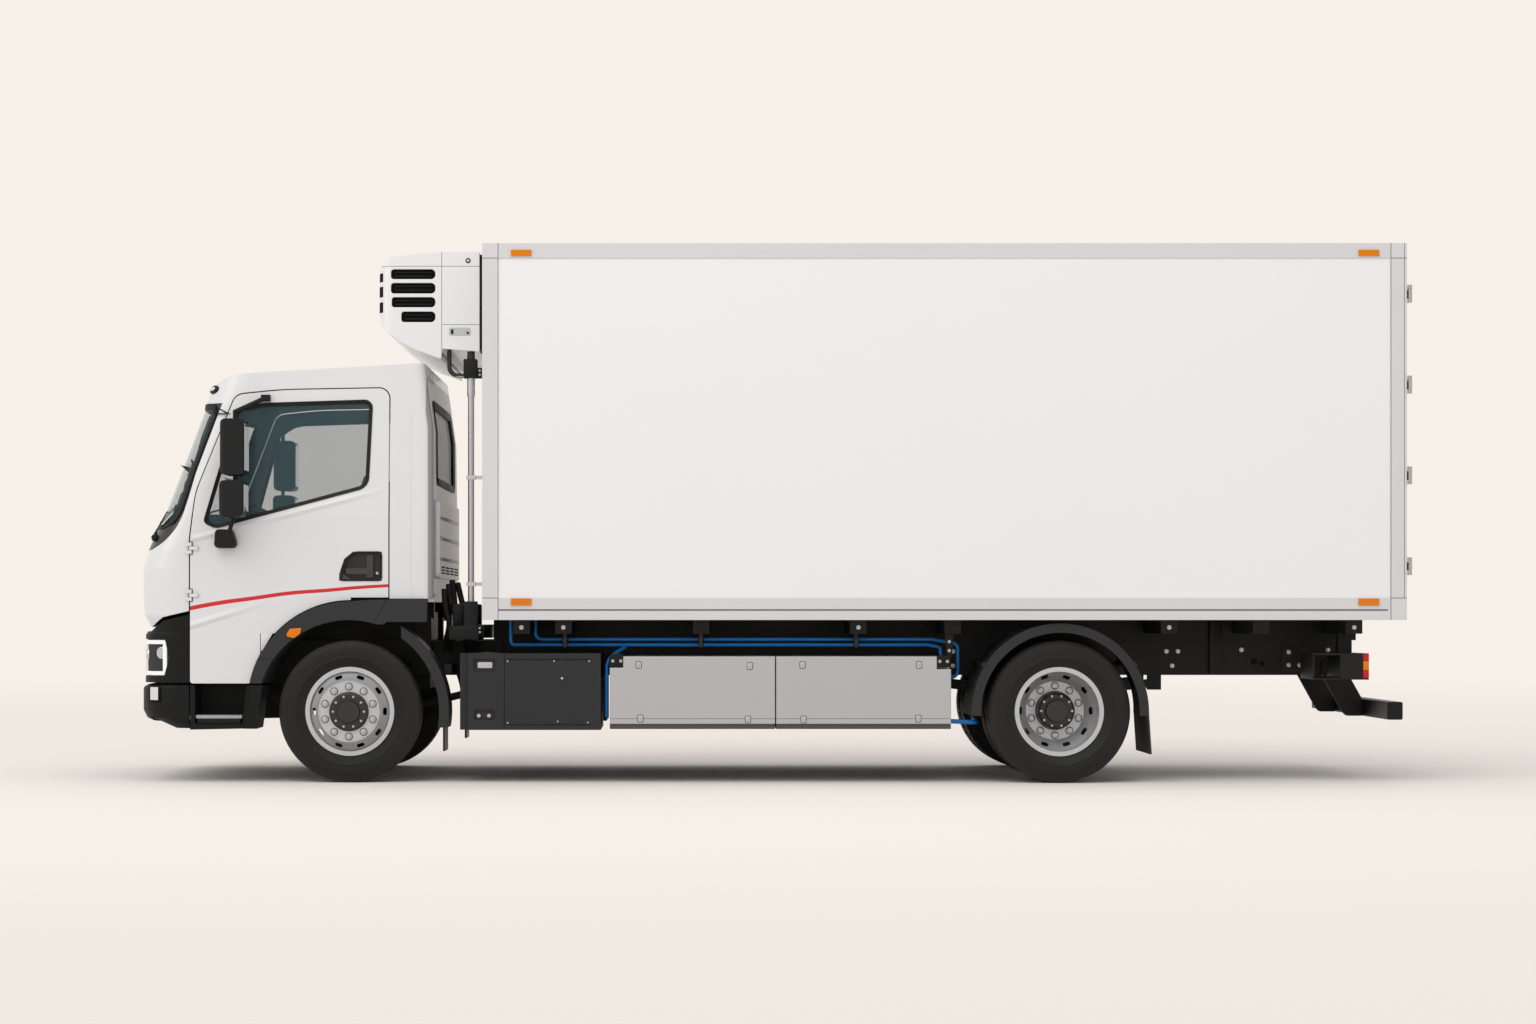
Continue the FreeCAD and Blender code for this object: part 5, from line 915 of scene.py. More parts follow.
for side, sign in sides:
    skin = skinOf(f"door_glass_{side}", lambda f: f.normal.y * sign > 0.6)
    sealBand(f"windowSeal{titled(side)}", skin, seals["side"], f"cab_door_{side}")
sealBand("windscreenSeal", skinOf("cab_glass", isScreen), seals["screen"], "cab")
sealBand("rearWindowSeal", skinOf("cab_glass", lambda f: f.normal.x > 0.6), seals["rear"], "cab", seals["thickRear"])
print("glass seals")


# cab: wipers, roof lamps, handles, mirrors

cabTree = treeOf("cab_shell", "cab_glass")


# where the front of the cab lies at a place across it, with the normal there
def frontAt(y, z):
    return cabTree.ray_cast(Vector((noseX - 0.5, y, z)), Vector((1, 0, 0)))[:2]


wiper = {"pivots": (-1.00, -0.38, 0.24), "pivotZ": 1.640, "reach": 0.465, "climb": 0.18, "blade": 0.62,
         "bladeClimb": 0.15, "steps": 8, "base": 0.024, "cap": 0.013, "arm": 0.020, "tip": 0.030, "rubber": 0.0075}


def makeWipers():
    bm = bmesh.new()
    for pivotY in wiper["pivots"]:
        base, normal = frontAt(pivotY, wiper["pivotZ"])
        addDisc(bm, wiper["base"], base - normal * 0.004, base + normal * 0.022, 20, 0.004)
        addDisc(bm, wiper["cap"], base + normal * 0.020, base + normal * 0.032, 6, 0.002)
        tipY, tipZ = pivotY + wiper["reach"], wiper["pivotZ"] + wiper["climb"]
        tip, tipNormal = frontAt(tipY, tipZ)
        start, end = base + normal * wiper["arm"], tip + tipNormal * wiper["tip"]
        addDisc(bm, 0.011, start, start.lerp(end, 0.35), 10, 0.002, 0.008)
        addDisc(bm, 0.007, start.lerp(end, 0.33), end, 8, 0.001, 0.005)
        spine = []
        for k in range(wiper["steps"] + 1):
            share = k / wiper["steps"] - 0.5
            place, out = frontAt(tipY + wiper["blade"] * share, tipZ + wiper["bladeClimb"] * share)
            spine.append(place + out * 0.011)
        for a, b in zip(spine, spine[1:]):
            addDisc(bm, wiper["rubber"], a, b, 8)
        addDisc(bm, 0.009, spine[wiper["steps"] // 2], end, 8)
    piece("wipers", bm, "rubber", "cab")


roofLamp = {"y": 0.93, "z": 2.646, "size": (0.13, 0.062), "lens": (0.094, 0.038), "depth": 0.022}


def makeRoofLamps():
    housing, lens = bmesh.new(), bmesh.new()
    for sign in signs:
        place, normal = frontAt(sign * roofLamp["y"], roofLamp["z"])
        addOval(housing, place, normal, *roofLamp["size"], roofLamp["depth"])
        addOval(lens, place + normal * 0.010, normal, *roofLamp["lens"], roofLamp["depth"] - 0.006)
    piece("roofLampHousings", housing, "rubber", "cab")
    piece("roofLampLenses", lens, "lampBright", "cab")


# the door's own corner beside the front arch
doorCorner = ((-3.396, 0.880), (-3.385, 0.886), (-3.319, 0.996), (-3.319, 1.006), (-3.396, 1.006))


def makeHandleFlange(side, sign):
    bm = bmesh.new()
    verts = [bm.verts.new((x, sign * (cabHalf + pocket["proud"]), z)) for x, z in pocket["outline"]]
    bm.faces.new(verts)
    bmesh.ops.bevel(bm, geom=verts, offset=pocket["round"], segments=6, profile=0.5, affect="VERTICES", material=-1)
    ring = set(bmesh.ops.inset_region(bm, faces=bm.faces[:], thickness=pocket["flange"], use_boundary=True)["faces"])
    bmesh.ops.delete(bm, geom=[f for f in bm.faces if f not in ring], context="FACES")
    bmesh.ops.translate(bm, vec=(0, sign * pocket["thick"], 0), verts=secondLayer(bm, bm.faces[:]))
    piece(f"handleFlange{titled(side)}", bm, "blackPlastic", f"cab_door_{side}")
    cover = bmesh.new()
    for outline, key, bevel in ((pocket["cover"], "coverDepth", 0.001), (doorCorner, "cornerDepth", 0.0008)):
        addOutline(cover, outline, *(sign * (cabHalf + depth) for depth in pocket[key]), bevel)
    piece(f"doorFiller{titled(side)}", cover, "fillerPaint", f"cab_door_{side}")
    lock = bmesh.new()
    x, z = pocket["lock"]
    sideDisc(lock, sign, pocket["lockRadius"], x, (pocket["floor"], pocket["lockFace"]), z, 24, 0.001)
    piece(f"lock{titled(side)}", lock, "bolt", f"cab_door_{side}")


mirrorPanes = {"y": (1.222, 1.408), "z": ((2.082, 2.390), (1.802, 1.984)), "x": (-3.50, -3.44)}


def makeMirrorGlass(side, sign):
    target = bmesh.new()
    for z in mirrorPanes["z"]:
        bm = skinOf(f"mirror_{side}", lambda f: f.normal.x > 0.9)
        trimTo(bm, mirrorPanes["x"], onSide(sign, mirrorPanes["y"]), z)
        joinPatch(target, bm, 0.0004, 0.0025)
    piece(f"mirrorGlass{titled(side)}", target, "mirrorGlass", f"cab_door_{side}")


makeWipers()
makeRoofLamps()
for side, sign in sides:
    makeHandleFlange(side, sign)
    makeMirrorGlass(side, sign)
print("cab fittings")


# head lamps, fog lamps and the black front

frontForm = {"middle": -3.4, "narrow": 0.75, "steep": 0.6, "cut": 0.12}


# the outward faces on one side of the truck's front
def frontFaces(sign, cut=frontForm["cut"]):
    def keep(face):
        c, n = face.calc_center_median(), face.normal
        away = n.dot(Vector((c.x - frontForm["middle"], c.y * frontForm["narrow"], 0)))
        return c.y * sign > 0 and abs(n.z) < frontForm["steep"] and away > cut
    return keep


headLamp = {
    "cover": 0.003, "bandDepth": 0.012, "band": 0.007, "back": 0.021,
    "ring": 0.042, "ringDepth": (0.019, 0.012), "lens": 0.031, "lensDepth": (0.014, 0.006),
    "rays": (((-4.078, 2, 0.870), (0, -1)), ((-5, 0.955, 0.860), (1, 0)), ((-5, 0.830, 0.850), (1, 0))),
    "bands": (((-4.3, -4.026), (0.728, 1.2), (0.928, 0.955)), ((-4.3, -4.034), (0.728, 1.2), (0.719, 0.746)),
              ((-4.060, -4.032), (1.0, 1.2), (0.746, 0.928)), ((-4.3, -3.9), (0.728, 0.756), (0.746, 0.928))),
}


def makeHeadLamps():
    cover, dark, light, chrome, lens = (bmesh.new() for _ in range(5))
    lampTree = treeOf("head_lamps")
    ring, glass = headLamp["ring"], headLamp["lens"]
    (ringBack, ringFront), (lensBack, lensFront) = headLamp["ringDepth"], headLamp["lensDepth"]
    for sign in signs:
        joinPatch(cover, skinOf("head_lamps", frontFaces(sign)), -headLamp["cover"], headLamp["cover"])
        joinPatch(dark, skinOf("head_lamps", frontFaces(sign)), -headLamp["back"], 0.002)
        for x, y, z in headLamp["bands"]:
            bm = skinOf("head_lamps", frontFaces(sign))
            trimTo(bm, x, onSide(sign, y), z)
            joinPatch(light, bm, -headLamp["bandDepth"], headLamp["band"])
        for (x, y, z), (wayX, wayY) in headLamp["rays"]:
            place, out = lampTree.ray_cast(Vector((x, sign * y, z)), Vector((wayX, sign * wayY, 0)))[:2]
            addDisc(chrome, ring, place - out * ringBack, place - out * ringFront, 32, 0.002, ring * 0.9)
            addDisc(lens, glass, place - out * lensBack, place - out * lensFront, 32, 0.002, glass * 0.75)
    obj = piece("headLampCovers", cover, "lampClear", "cab", angle=50)
    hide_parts("head_lamps")
    piece("headLampBacks", dark, "blackAndPaintedShade", "cab", angle=50)
    piece("dayLights", light, "dayLight", "cab", angle=50)
    piece("headLampRings", chrome, "lampBright", "cab")
    piece("headLampLenses", lens, "mirrorGlass", "cab")


fog = {"x": (-4.142, -4.085), "y": (0.7, 1.2), "z": (0.553, 0.636), "frame": 0.014}


def makeFogLamps():
    surround, lens = bmesh.new(), bmesh.new()
    for sign in signs:
        for target, grow, lift, thick in ((surround, fog["frame"], 0.0004, 0.005), (lens, 0.0, 0.0056, 0.004)):
            bm = skinOf("front_bumper", frontFaces(sign))
            (x0, x1), (z0, z1) = fog["x"], fog["z"]
            trimTo(bm, (x0 - grow, x1 + grow), onSide(sign, fog["y"]), (z0 - grow, z1 + grow))
            joinPatch(target, bm, lift, thick)
    piece("fogLampSurrounds", surround, "blackAndPaintedShade", "chassis", angle=50)
    piece("fogLamps", lens, "lampBright", "chassis", angle=50)


grille = {"slats": (0.735, 0.779, 0.823, 0.867, 0.911), "half": 0.62, "high": 0.028, "proud": 0.008}


def makeGrille():
    bm = bmesh.new()
    for z in grille["slats"]:
        for sign in signs:
            patch = skinOf("front_panel", frontFaces(sign, 0.3))
            trimTo(patch, y=onSide(sign, (0, grille["half"])), z=(z, z + grille["high"]))
            joinPatch(bm, patch, 0.0004, grille["proud"])
    piece("grilleSlats", bm, "blackPlastic", "cab", angle=40)


makeHeadLamps()
makeFogLamps()
makeGrille()
print("front")


# steps, side repeaters and tail lamps

tread = {"x": (-3.834, -3.524), "y": (0.890, 1.138), "base": 0.3925, "foot": 0.430, "plate": 0.451, "top": 0.455,
         "pitch": 0.014, "bar": 0.003, "barHigh": 0.005, "barIn": (0.004, 0.002), "footIn": 0.010}


def makeStepTreads():
    steel, dark = bmesh.new(), bmesh.new()
    x0, x1 = tread["x"]
    for sign in signs:
        foot = (x0 + tread["footIn"], x1 - tread["footIn"])
        sideBox(dark, sign, foot, tread["y"], (tread["base"], tread["foot"]), 0.002)
        sideBox(steel, sign, tread["x"], tread["y"], (tread["foot"], tread["plate"]), 0.002)
        y0, y1 = onSide(sign, tread["y"])
        for k in range(int((x1 - x0) / tread["pitch"])):
            start, end = around(x0 + (k + 0.5) * tread["pitch"], tread["bar"])
            low = (start, y0 + tread["barIn"][0], tread["top"] - tread["barHigh"])
            addBox(steel, low, (end, y1 - tread["barIn"][1], tread["top"]), 0.001, 1)
    piece("stepTreads", steel, "steel", "chassis")
    piece("stepTreadFeet", dark, "framePaint", "chassis")


repeater = ((-3.219, 0.996), (-3.196, 1.032), (-3.118, 1.037), (-3.129, 0.996), (-3.168, 0.969), (-3.214, 0.978))


def makeRepeaters():
    bm = bmesh.new()
    for sign in signs:
        addOutline(bm, repeater, sign * (trimY + 0.0004), sign * (trimY + 0.014), 0.004)
    piece("sideRepeaters", bm, "amber", "cab")


tail = {"x": (3.981, 4.0195), "y": (0.757, 1.1515), "red": ((0.702, 0.752), (0.816, 0.8625)),
        "amber": (0.753, 0.815)}


def makeTailLamps():
    red, amber = bmesh.new(), bmesh.new()
    for sign in signs:
        sideBox(amber, sign, tail["x"], tail["y"], tail["amber"], 0.003)
        for z in tail["red"]:
            sideBox(red, sign, tail["x"], tail["y"], z, 0.003)
    piece("tailLampsRed", red, "red", "chassis")
    piece("tailLampsAmber", amber, "amber", "chassis")


makeStepTreads()
makeRepeaters()
makeTailLamps()
print("steps and small lamps")


# cooling unit

sideSlots = {
    "heights": ((3.387, 3.454), (3.290, 3.362), (3.197, 3.266), (3.097, 3.169)),
    "front": (-2.515, -2.515, -2.510, -2.445), "rear": -2.262, "depth": 0.040,
    "slats": (0.30, 0.70), "slatHalf": 0.003, "slatDepth": (0.016, 0.030),
}
noseSlots = {"heights": ((3.372, 3.430), (3.270, 3.340), (3.165, 3.235)), "y": (0.792, 0.965),
             "x": (unitBox[0].x - 0.065, unitBox[0].x + 0.030)}


# the slot floors get near-black plates, painted shade of the slots' insides, and the side slots get black slats
def makeUnitSlots():
    back, slats = bmesh.new(), bmesh.new()
    floorY = unitBox[1].y - sideSlots["depth"]
    front = unitBox[0].x + 0.035
    slatY = [floorY + depth for depth in sideSlots["slatDepth"]]
    for sign in signs:
        bm = skinOf("cooling_unit",
                    lambda f: f.normal.y * sign > 0.9 and abs(abs(f.calc_center_median().y) - floorY) < 0.001)
        joinPatch(back, bm, 0.0005, 0.018)
        for (z0, z1), x0 in zip(sideSlots["heights"], sideSlots["front"]):
            for share in sideSlots["slats"]:
                z = around(z0 + (z1 - z0) * share, sideSlots["slatHalf"])
                sideBox(slats, sign, (x0, sideSlots["rear"]), slatY, z, 0.0015)
    bm = skinOf("cooling_unit", lambda f: f.normal.x < -0.9 and abs(f.calc_center_median().x - front) < 0.001)
    joinPatch(back, bm, 0.0005, 0.015)
    for sign in signs:
        for z in noseSlots["heights"]:
            bm = skinOf("cooling_unit", lambda f: f.normal.x < -0.25 and f.calc_center_median().x < front - 0.006)
            trimTo(bm, noseSlots["x"], onSide(sign, noseSlots["y"]), z)
            joinPatch(back, bm, 0.0004, 0.0012)
    piece("unitSlotShade", back, "blackAndPaintedShade", "chassis")
    piece("unitSlats", slats, "blackPlastic", "chassis")


catch = {"x": -2.020, "z": 3.5125, "rim": 0.017, "knob": 0.010,
         "recess": ((-2.148, -2.002), (3.005, 3.060)), "corner": 0.014,
         "slot": ((-2.136, -2.118), (3.017, 3.048)), "lock": (-2.022, 3.025), "lockRadius": 0.008}


def makeUnitFittings():
    pale, dark = bmesh.new(), bmesh.new()
    y = unitBox[1].y
    (recessX, recessZ), (slotX, slotZ) = catch["recess"], catch["slot"]
    lockX, lockZ = catch["lock"]
    for sign in signs:
        sideDisc(dark, sign, catch["rim"], catch["x"], (y, y + 0.004), catch["z"], 24, 0.001)
        sideDisc(pale, sign, catch["knob"], catch["x"], (y + 0.003, y + 0.007), catch["z"], 20, 0.001)
        sideBox(pale, sign, recessX, (y - 0.001, y + 0.0015), recessZ, corner=catch["corner"])
        # a dark plate in the catch's slot: painted shade in the slot
        sideBox(dark, sign, slotX, (y + 0.0005, y + 0.0035), slotZ, 0.001)
        sideDisc(dark, sign, catch["lockRadius"], lockX, (y, y + 0.006), lockZ, 16, 0.001)
    piece("unitCatches", pale, "paleGrey", "chassis")
    piece("unitLocksAndSlotShade", dark, "rubber", "chassis")


gap = {
    "pipe": (-2.003, -0.950), "holders": ((-2.052, -1.915, 2.722, 2.850), (-2.050, -1.946, 0.985, 1.215)),
    "holderHalf": 0.045, "holderEnd": 0.043, "clampHalf": 0.030, "clampHigh": 0.070, "bolts": (0.022, 0.050),
    "boltX": 0.060,
    "tie": ((-2.150, -1.950), (0.44, 1.0), (0.955, 1.050)), "post": ((-2.135, -2.050), (0.82, 0.90), (1.040, 1.200)),
    "hose": 0.020,
}
hoses = (
    ((-2.168, -0.780, 1.330), (-2.155, -0.820, 1.180), (-2.090, -0.840, 1.080), (-2.030, -0.840, 0.980),
     (-2.010, -0.780, 0.900)),
    ((-2.150, -0.700, 1.360), (-2.130, -0.730, 1.200), (-2.110, -0.800, 1.060), (-2.140, -0.820, 0.960),
     (-2.170, -0.700, 0.880)),
    ((-2.120, -0.600, 1.340), (-2.080, -0.660, 1.180), (-2.050, -0.740, 1.120), (-2.060, -0.800, 1.000),
     (-2.050, -0.640, 0.880)),
    ((-2.190, -0.880, 1.300), (-2.185, -0.890, 1.160), (-2.150, -0.880, 1.080), (-2.170, -0.860, 0.980),
     (-2.200, -0.760, 0.890)),
    ((-2.195, -0.600, 1.260), (-2.170, -0.760, 1.200), (-2.100, -0.880, 1.170), (-2.070, -0.890, 1.100),
     (-2.080, -0.880, 1.020)),
)


# brackets that hold the pipe, and the hoses between the cab and the box
def makeGapParts():
    bm, bolts = bmesh.new(), bmesh.new()
    pipeX, pipeY = gap["pipe"]
    front = pipeY - gap["clampHalf"]
    for x0, x1, z0, z1 in gap["holders"]:
        low, high = around(pipeY, gap["holderHalf"])
        addBox(bm, (x0, low, z0), (pipeX + gap["holderEnd"], high, z1), 0.006)
        addBox(bm, (pipeX, front, z0), (x1, pipeY + gap["clampHalf"], z0 + gap["clampHigh"]), 0.004)
        for rise in gap["bolts"]:
            addBolt(bolts, (pipeX + gap["boltX"], front, z0 + rise), (0, -1, 0), 0.005)
    for sign in signs:
        sideBox(bm, sign, *gap["tie"], 0.006)
        sideBox(bm, sign, *gap["post"], 0.012)
    piece("gapBrackets", bm, "blackPlastic", "chassis")
    piece("gapBolts", bolts, "bolt", "chassis")
    for i, points in enumerate(hoses):
        tubeAlong(f"gapHose{i}", points, gap["hose"], "rubber", "chassis")


blueHoses = {
    "Down": (0.012, ((-0.960, -0.94, 0.905), (-1.010, -1.02, 0.880), (-1.082, -1.10, 0.820), (-1.084, -1.10, 0.700),
                     (-1.084, -1.10, 0.440))),
    "Rear": (0.016, ((1.216, -1.02, 0.408), (1.320, -1.02, 0.404), (1.415, -1.02, 0.400), (1.420, -0.80, 0.404),
                     (1.420, -0.57, 0.430), (1.420, -0.52, 0.560), (1.420, -0.50, 0.700))),
}


# one hose goes down in front of the boxes, the other across behind them
def makeBlueHoses():
    for label, (radius, points) in blueHoses.items():
        tubeAlong(f"blueHose{label}", points, radius, "blueLine", "chassis")


makeUnitSlots()
makeUnitFittings()
makeGapParts()
makeBlueHoses()
print("cooling unit")


# insulated body: rear doors and marker lamps

leaf = {"x": boxRearX - 0.025, "y": (0.005, 1.196), "z": (1.218, 3.489), "seal": 0.014, "sealDepth": (0.0003, 0.006)}


def makeDoorSeals():
    x = [leaf["x"] + depth for depth in leaf["sealDepth"]]
    (inner, outer), (low, high), wide = leaf["y"], leaf["z"], leaf["seal"]
    for side, sign in sides:
        bm = bmesh.new()
        for y, z in (((inner, inner + wide), leaf["z"]), ((outer - wide, outer), leaf["z"]),
                     (leaf["y"], (low, low + wide)), (leaf["y"], (high - wide, high))):
            sideBox(bm, sign, x, y, z, 0.002)
        piece(f"leafSeal{titled(side)}", bm, "rubber", f"rear_leaf_{side}")


hinges = {"count": 4, "first": 0.230, "bolts": (1.170, 1.105, 1.040), "face": 0.010}
guides = {"y": (0.194, 0.764), "rises": (0.045, 0.620, 1.150, 1.700, 2.226), "pair": (-0.013, 0.013), "face": 0.038}


def makeLeafBolts():
    low, high = leaf["z"]
    step = (high - low - 2 * hinges["first"]) / (hinges["count"] - 1)
    for side, sign in sides:
        bm = bmesh.new()
        for k in range(hinges["count"]):
            for y in hinges["bolts"]:
                place = (leaf["x"] + hinges["face"], sign * y, low + hinges["first"] + k * step)
                addBolt(bm, place, (1, 0, 0), 0.006)
        for y in guides["y"]:
            for rise in guides["rises"]:
                for dz in guides["pair"]:
                    addBolt(bm, (leaf["x"] + guides["face"], sign * y, low + rise + dz), (1, 0, 0), 0.005)
        piece(f"leafBolts{titled(side)}", bm, "bolt", f"rear_leaf_{side}")


markers = {
    "x": (boxFrontX + 0.260, boxRearX - 0.254),
    "rows": ((boxTop - 0.066, 0.016), (boxBottom + 0.120, 0.020)),
    "y": (boxHalf + 0.010, boxHalf + 0.0132), "ribs": (-0.045, -0.015, 0.015, 0.045), "ribHalf": 0.001,
}


def makeMarkerRibs():
    bm = bmesh.new()
    for sign in signs:
        for x in markers["x"]:
            for z, half in markers["rows"]:
                for dx in markers["ribs"]:
                    rib = around(x + dx, markers["ribHalf"])
                    sideBox(bm, sign, rib, markers["y"], around(z, half), 0.0004, 1)
    piece("markerRibs", bm, "amber", "chassis")


makeDoorSeals()
makeLeafBolts()
makeMarkerRibs()
print("insulated body")


# side boxes

latches = ((-0.867, 0.790), (-0.855, 0.432), (-0.125, 0.783), (-0.138, 0.426), (0.227, 0.790), (0.234, 0.426),
           (1.005, 0.790), (1.000, 0.432))
batteryForm = {
    "rim": (0.0205, 0.0255), "padShadowCorner": 0.012, "pad": (0.017, 0.022), "padCorner": 0.010, "knob": 0.009,
    "brackets": (((-1.062, -0.965), (0.770, 0.862)), ((1.122, 1.216), (0.775, 0.852))), "boltIn": 0.022,
    "strap": ((1.190, 0.842), (1.225, 0.842), (1.245, 1.090), (1.170, 1.090)),
    "strapX": 1.2075, "strapBolts": (0.885, 0.945, 1.020), "bolt": 0.007, "bracketDepth": (-0.120, -0.006),
}


def makeBatteryFittings():
    pads, brackets, bolts = bmesh.new(), bmesh.new(), bmesh.new()
    y = batteryBox[1].y
    back, face = (y + depth for depth in batteryForm["bracketDepth"])
    (padShadowX, padShadowZ), (padX, padZ) = batteryForm["rim"], batteryForm["pad"]
    for sign in signs:
        for x, z in latches:
            # a black plate a little wider than each latch pad, behind it: painted shadow round the pad
            sideBox(brackets, sign, around(x, padShadowX), (y - 0.001, y + 0.0015), around(z, padShadowZ),
                    corner=batteryForm["padShadowCorner"])
            sideBox(pads, sign, around(x, padX), (y - 0.001, y + 0.004), around(z, padZ), 0.001,
                    corner=batteryForm["padCorner"])
            sideDisc(bolts, sign, batteryForm["knob"], x, (y + 0.003, y + 0.008), z, 6, 0.001)
        for x, z in batteryForm["brackets"]:
            sideBox(brackets, sign, x, (back, face), z, 0.002, corner=0.016)
            for place in (x[0] + batteryForm["boltIn"], x[1] - batteryForm["boltIn"]):
                sideBolt(bolts, sign, batteryForm["bolt"], place, face, sum(z) / 2)
        addOutline(brackets, batteryForm["strap"], sign * (y - 0.030), sign * (y - 0.018), 0.0015)
        for z in batteryForm["strapBolts"]:
            sideBolt(bolts, sign, batteryForm["bolt"], batteryForm["strapX"], y - 0.018, z)
    piece("batteryLatchPads", pads, "paleGrey", "chassis")
    piece("batteryBracketsAndPadShadows", brackets, "framePaint", "chassis")
    piece("batteryBolts", bolts, "bolt", "chassis")


equipment = {
    "front": noseX + 2.267,
    "plate": ((0.064, 0.162), (0.768, 0.808)), "knobs": ((0.072, 0.450), (0.140, 0.450)),
    "screws": ((0.265, 0.815), (0.265, 0.402), (0.575, 0.815), (0.600, 0.412), (0.800, 0.405), (0.810, 0.815)),
    "knob": 0.013, "knobDepth": (-0.015, 0.001), "screw": 0.006, "plateDepth": (-0.015, -0.006),
    "cap": (0.628, 0.700), "capRim": 0.014, "capKnob": 0.009,
    "strips": (((0.822, 0.832), 0.004), ((0.388, 0.394), 0.0)), "stripX": (0.262, 0.815),
    "stripDepth": (-0.001, 0.0025),
}


def makeEquipmentFittings():
    plate, dark, bolts = bmesh.new(), bmesh.new(), bmesh.new()
    y, front = equipmentBox[1].y, equipment["front"]
    plateX, plateZ = equipment["plate"]
    capX, capZ = equipment["cap"]
    stripX = [front + x for x in equipment["stripX"]]
    plateY, knobY, stripY = ([y + depth for depth in equipment[f"{key}Depth"]] for key in ("plate", "knob", "strip"))
    for sign in signs:
        sideBox(plate, sign, [front + x for x in plateX], plateY, plateZ, 0.0015, corner=0.008)
        for x, z in equipment["knobs"]:
            sideDisc(bolts, sign, equipment["knob"], front + x, knobY, z, 20, 0.002)
        for x, z in equipment["screws"]:
            sideDisc(bolts, sign, equipment["screw"], front + x, (y, y + 0.003), z, 12, 0.001)
        sideDisc(dark, sign, equipment["capRim"], front + capX, (y, y + 0.004), capZ, 20, 0.001)
        sideDisc(bolts, sign, equipment["capKnob"], front + capX, (y + 0.003, y + 0.006), capZ, 16, 0.001)
        for z, corner in equipment["strips"]:
            sideBox(dark, sign, stripX, stripY, z, 0.001, corner=corner)
    piece("equipmentPlates", plate, "paleGrey", "chassis")
    piece("equipmentCaps", dark, "blackPlastic", "chassis")
    piece("equipmentScrews", bolts, "bolt", "chassis")


makeBatteryFittings()
makeEquipmentFittings()
print("side boxes")


# chassis details

tabs = {"x": (-1.650, -1.370, 0.600, 2.675, 3.910), "z": 1.040, "y": 1.195}
rail = {
    "bolts": ((1.30, 0.870), (1.30, 0.770), (2.78, 0.870), (2.86, 0.870), (2.82, 0.770), (3.30, 0.880),
              (3.90, 0.880)),
    "bolt": 0.010, "plate": ((3.580, 3.740), (railY - 0.002, railY + 0.010), (0.722, 0.902)),
    "plateBolts": ((3.625, 0.775), (3.625, 0.865), (3.700, 0.775)), "plateCorner": 0.012,
    "bracket": ((3.072, 3.158), (railY - 0.002, railY + 0.045), (0.715, 1.085)),
    "holes": ((3.387, 0.800, 0.024), (3.442, 0.785, 0.020)),
}


def makeRailDetails():
    bolts, plates, holes = bmesh.new(), bmesh.new(), bmesh.new()
    for sign in signs:
        for x in tabs["x"]:
            sideBolt(bolts, sign, rail["bolt"], x, tabs["y"], tabs["z"])
        for x, z in rail["bolts"]:
            sideBolt(bolts, sign, rail["bolt"], x, railY, z)
        sideBox(plates, sign, *rail["plate"], 0.001, corner=rail["plateCorner"])
        for x, z in rail["plateBolts"]:
            sideBolt(bolts, sign, rail["bolt"], x, rail["plate"][1][1], z)
        sideBox(plates, sign, *rail["bracket"], 0.003)
        # near-black discs where the rail has holes: painted shade in the holes
        for x, z, radius in rail["holes"]:
            sideDisc(holes, sign, radius, x, (railY - 0.001, railY + 0.0012), z)
    piece("railBolts", bolts, "bolt", "chassis")
    piece("railPlates", plates, "framePaint", "chassis")
    piece("railHoleShade", holes, "blackAndPaintedShade", "chassis")


springClamps = {"y": 0.3925, "halfX": 0.055, "halfY": 0.050, "rod": 0.009, "nut": 0.016, "front": (0.385, 0.492),
                "rear": (0.440, 0.640)}
damper = {"y": 0.492, "top": 0.800, "foot": (0.075, 0.045), "topX": 0.330, "rod": 0.027, "tube": 0.034,
          "pin": 0.014, "pinY": (0.425, 0.530)}


# clamp bolts over the springs and the dampers beside them
def makeSuspension():
    clamps, dampers = bmesh.new(), bmesh.new()
    rod, nut = springClamps["rod"], springClamps["nut"]
    for sign in signs:
        for axleX, (low, high) in ((frontAxleX, springClamps["front"]), (rearAxleX, springClamps["rear"])):
            for x in around(axleX, springClamps["halfX"]):
                inner, outer = around(sign * springClamps["y"], springClamps["halfY"])
                for y in (inner, outer):
                    addDisc(clamps, rod, (x, y, low), (x, y, high), 10)
                    addDisc(clamps, nut, (x, y, low + 0.004), (x, y, low + 0.020), 6, 0.001)
                addDisc(clamps, rod, (x, inner - rod, high), (x, outer + rod, high), 10)
            footX, footZ = damper["foot"]
            foot = Vector((axleX + footX, sign * damper["y"], low + footZ))
            top = Vector((axleX + damper["topX"], sign * damper["y"], damper["top"]))
            addDisc(dampers, damper["rod"], foot, foot.lerp(top, 0.55), 20, 0.003)
            addDisc(dampers, damper["tube"], foot.lerp(top, 0.45), top, 20, 0.003)
            for end in (foot, top):
                sideDisc(dampers, sign, damper["pin"], end.x, damper["pinY"], end.z, 16, 0.002)
    piece("springClamps", clamps, "steel", "chassis")
    piece("dampers", dampers, "framePaint", "chassis")


makeRailDetails()
makeSuspension()
print("chassis details")


# seats

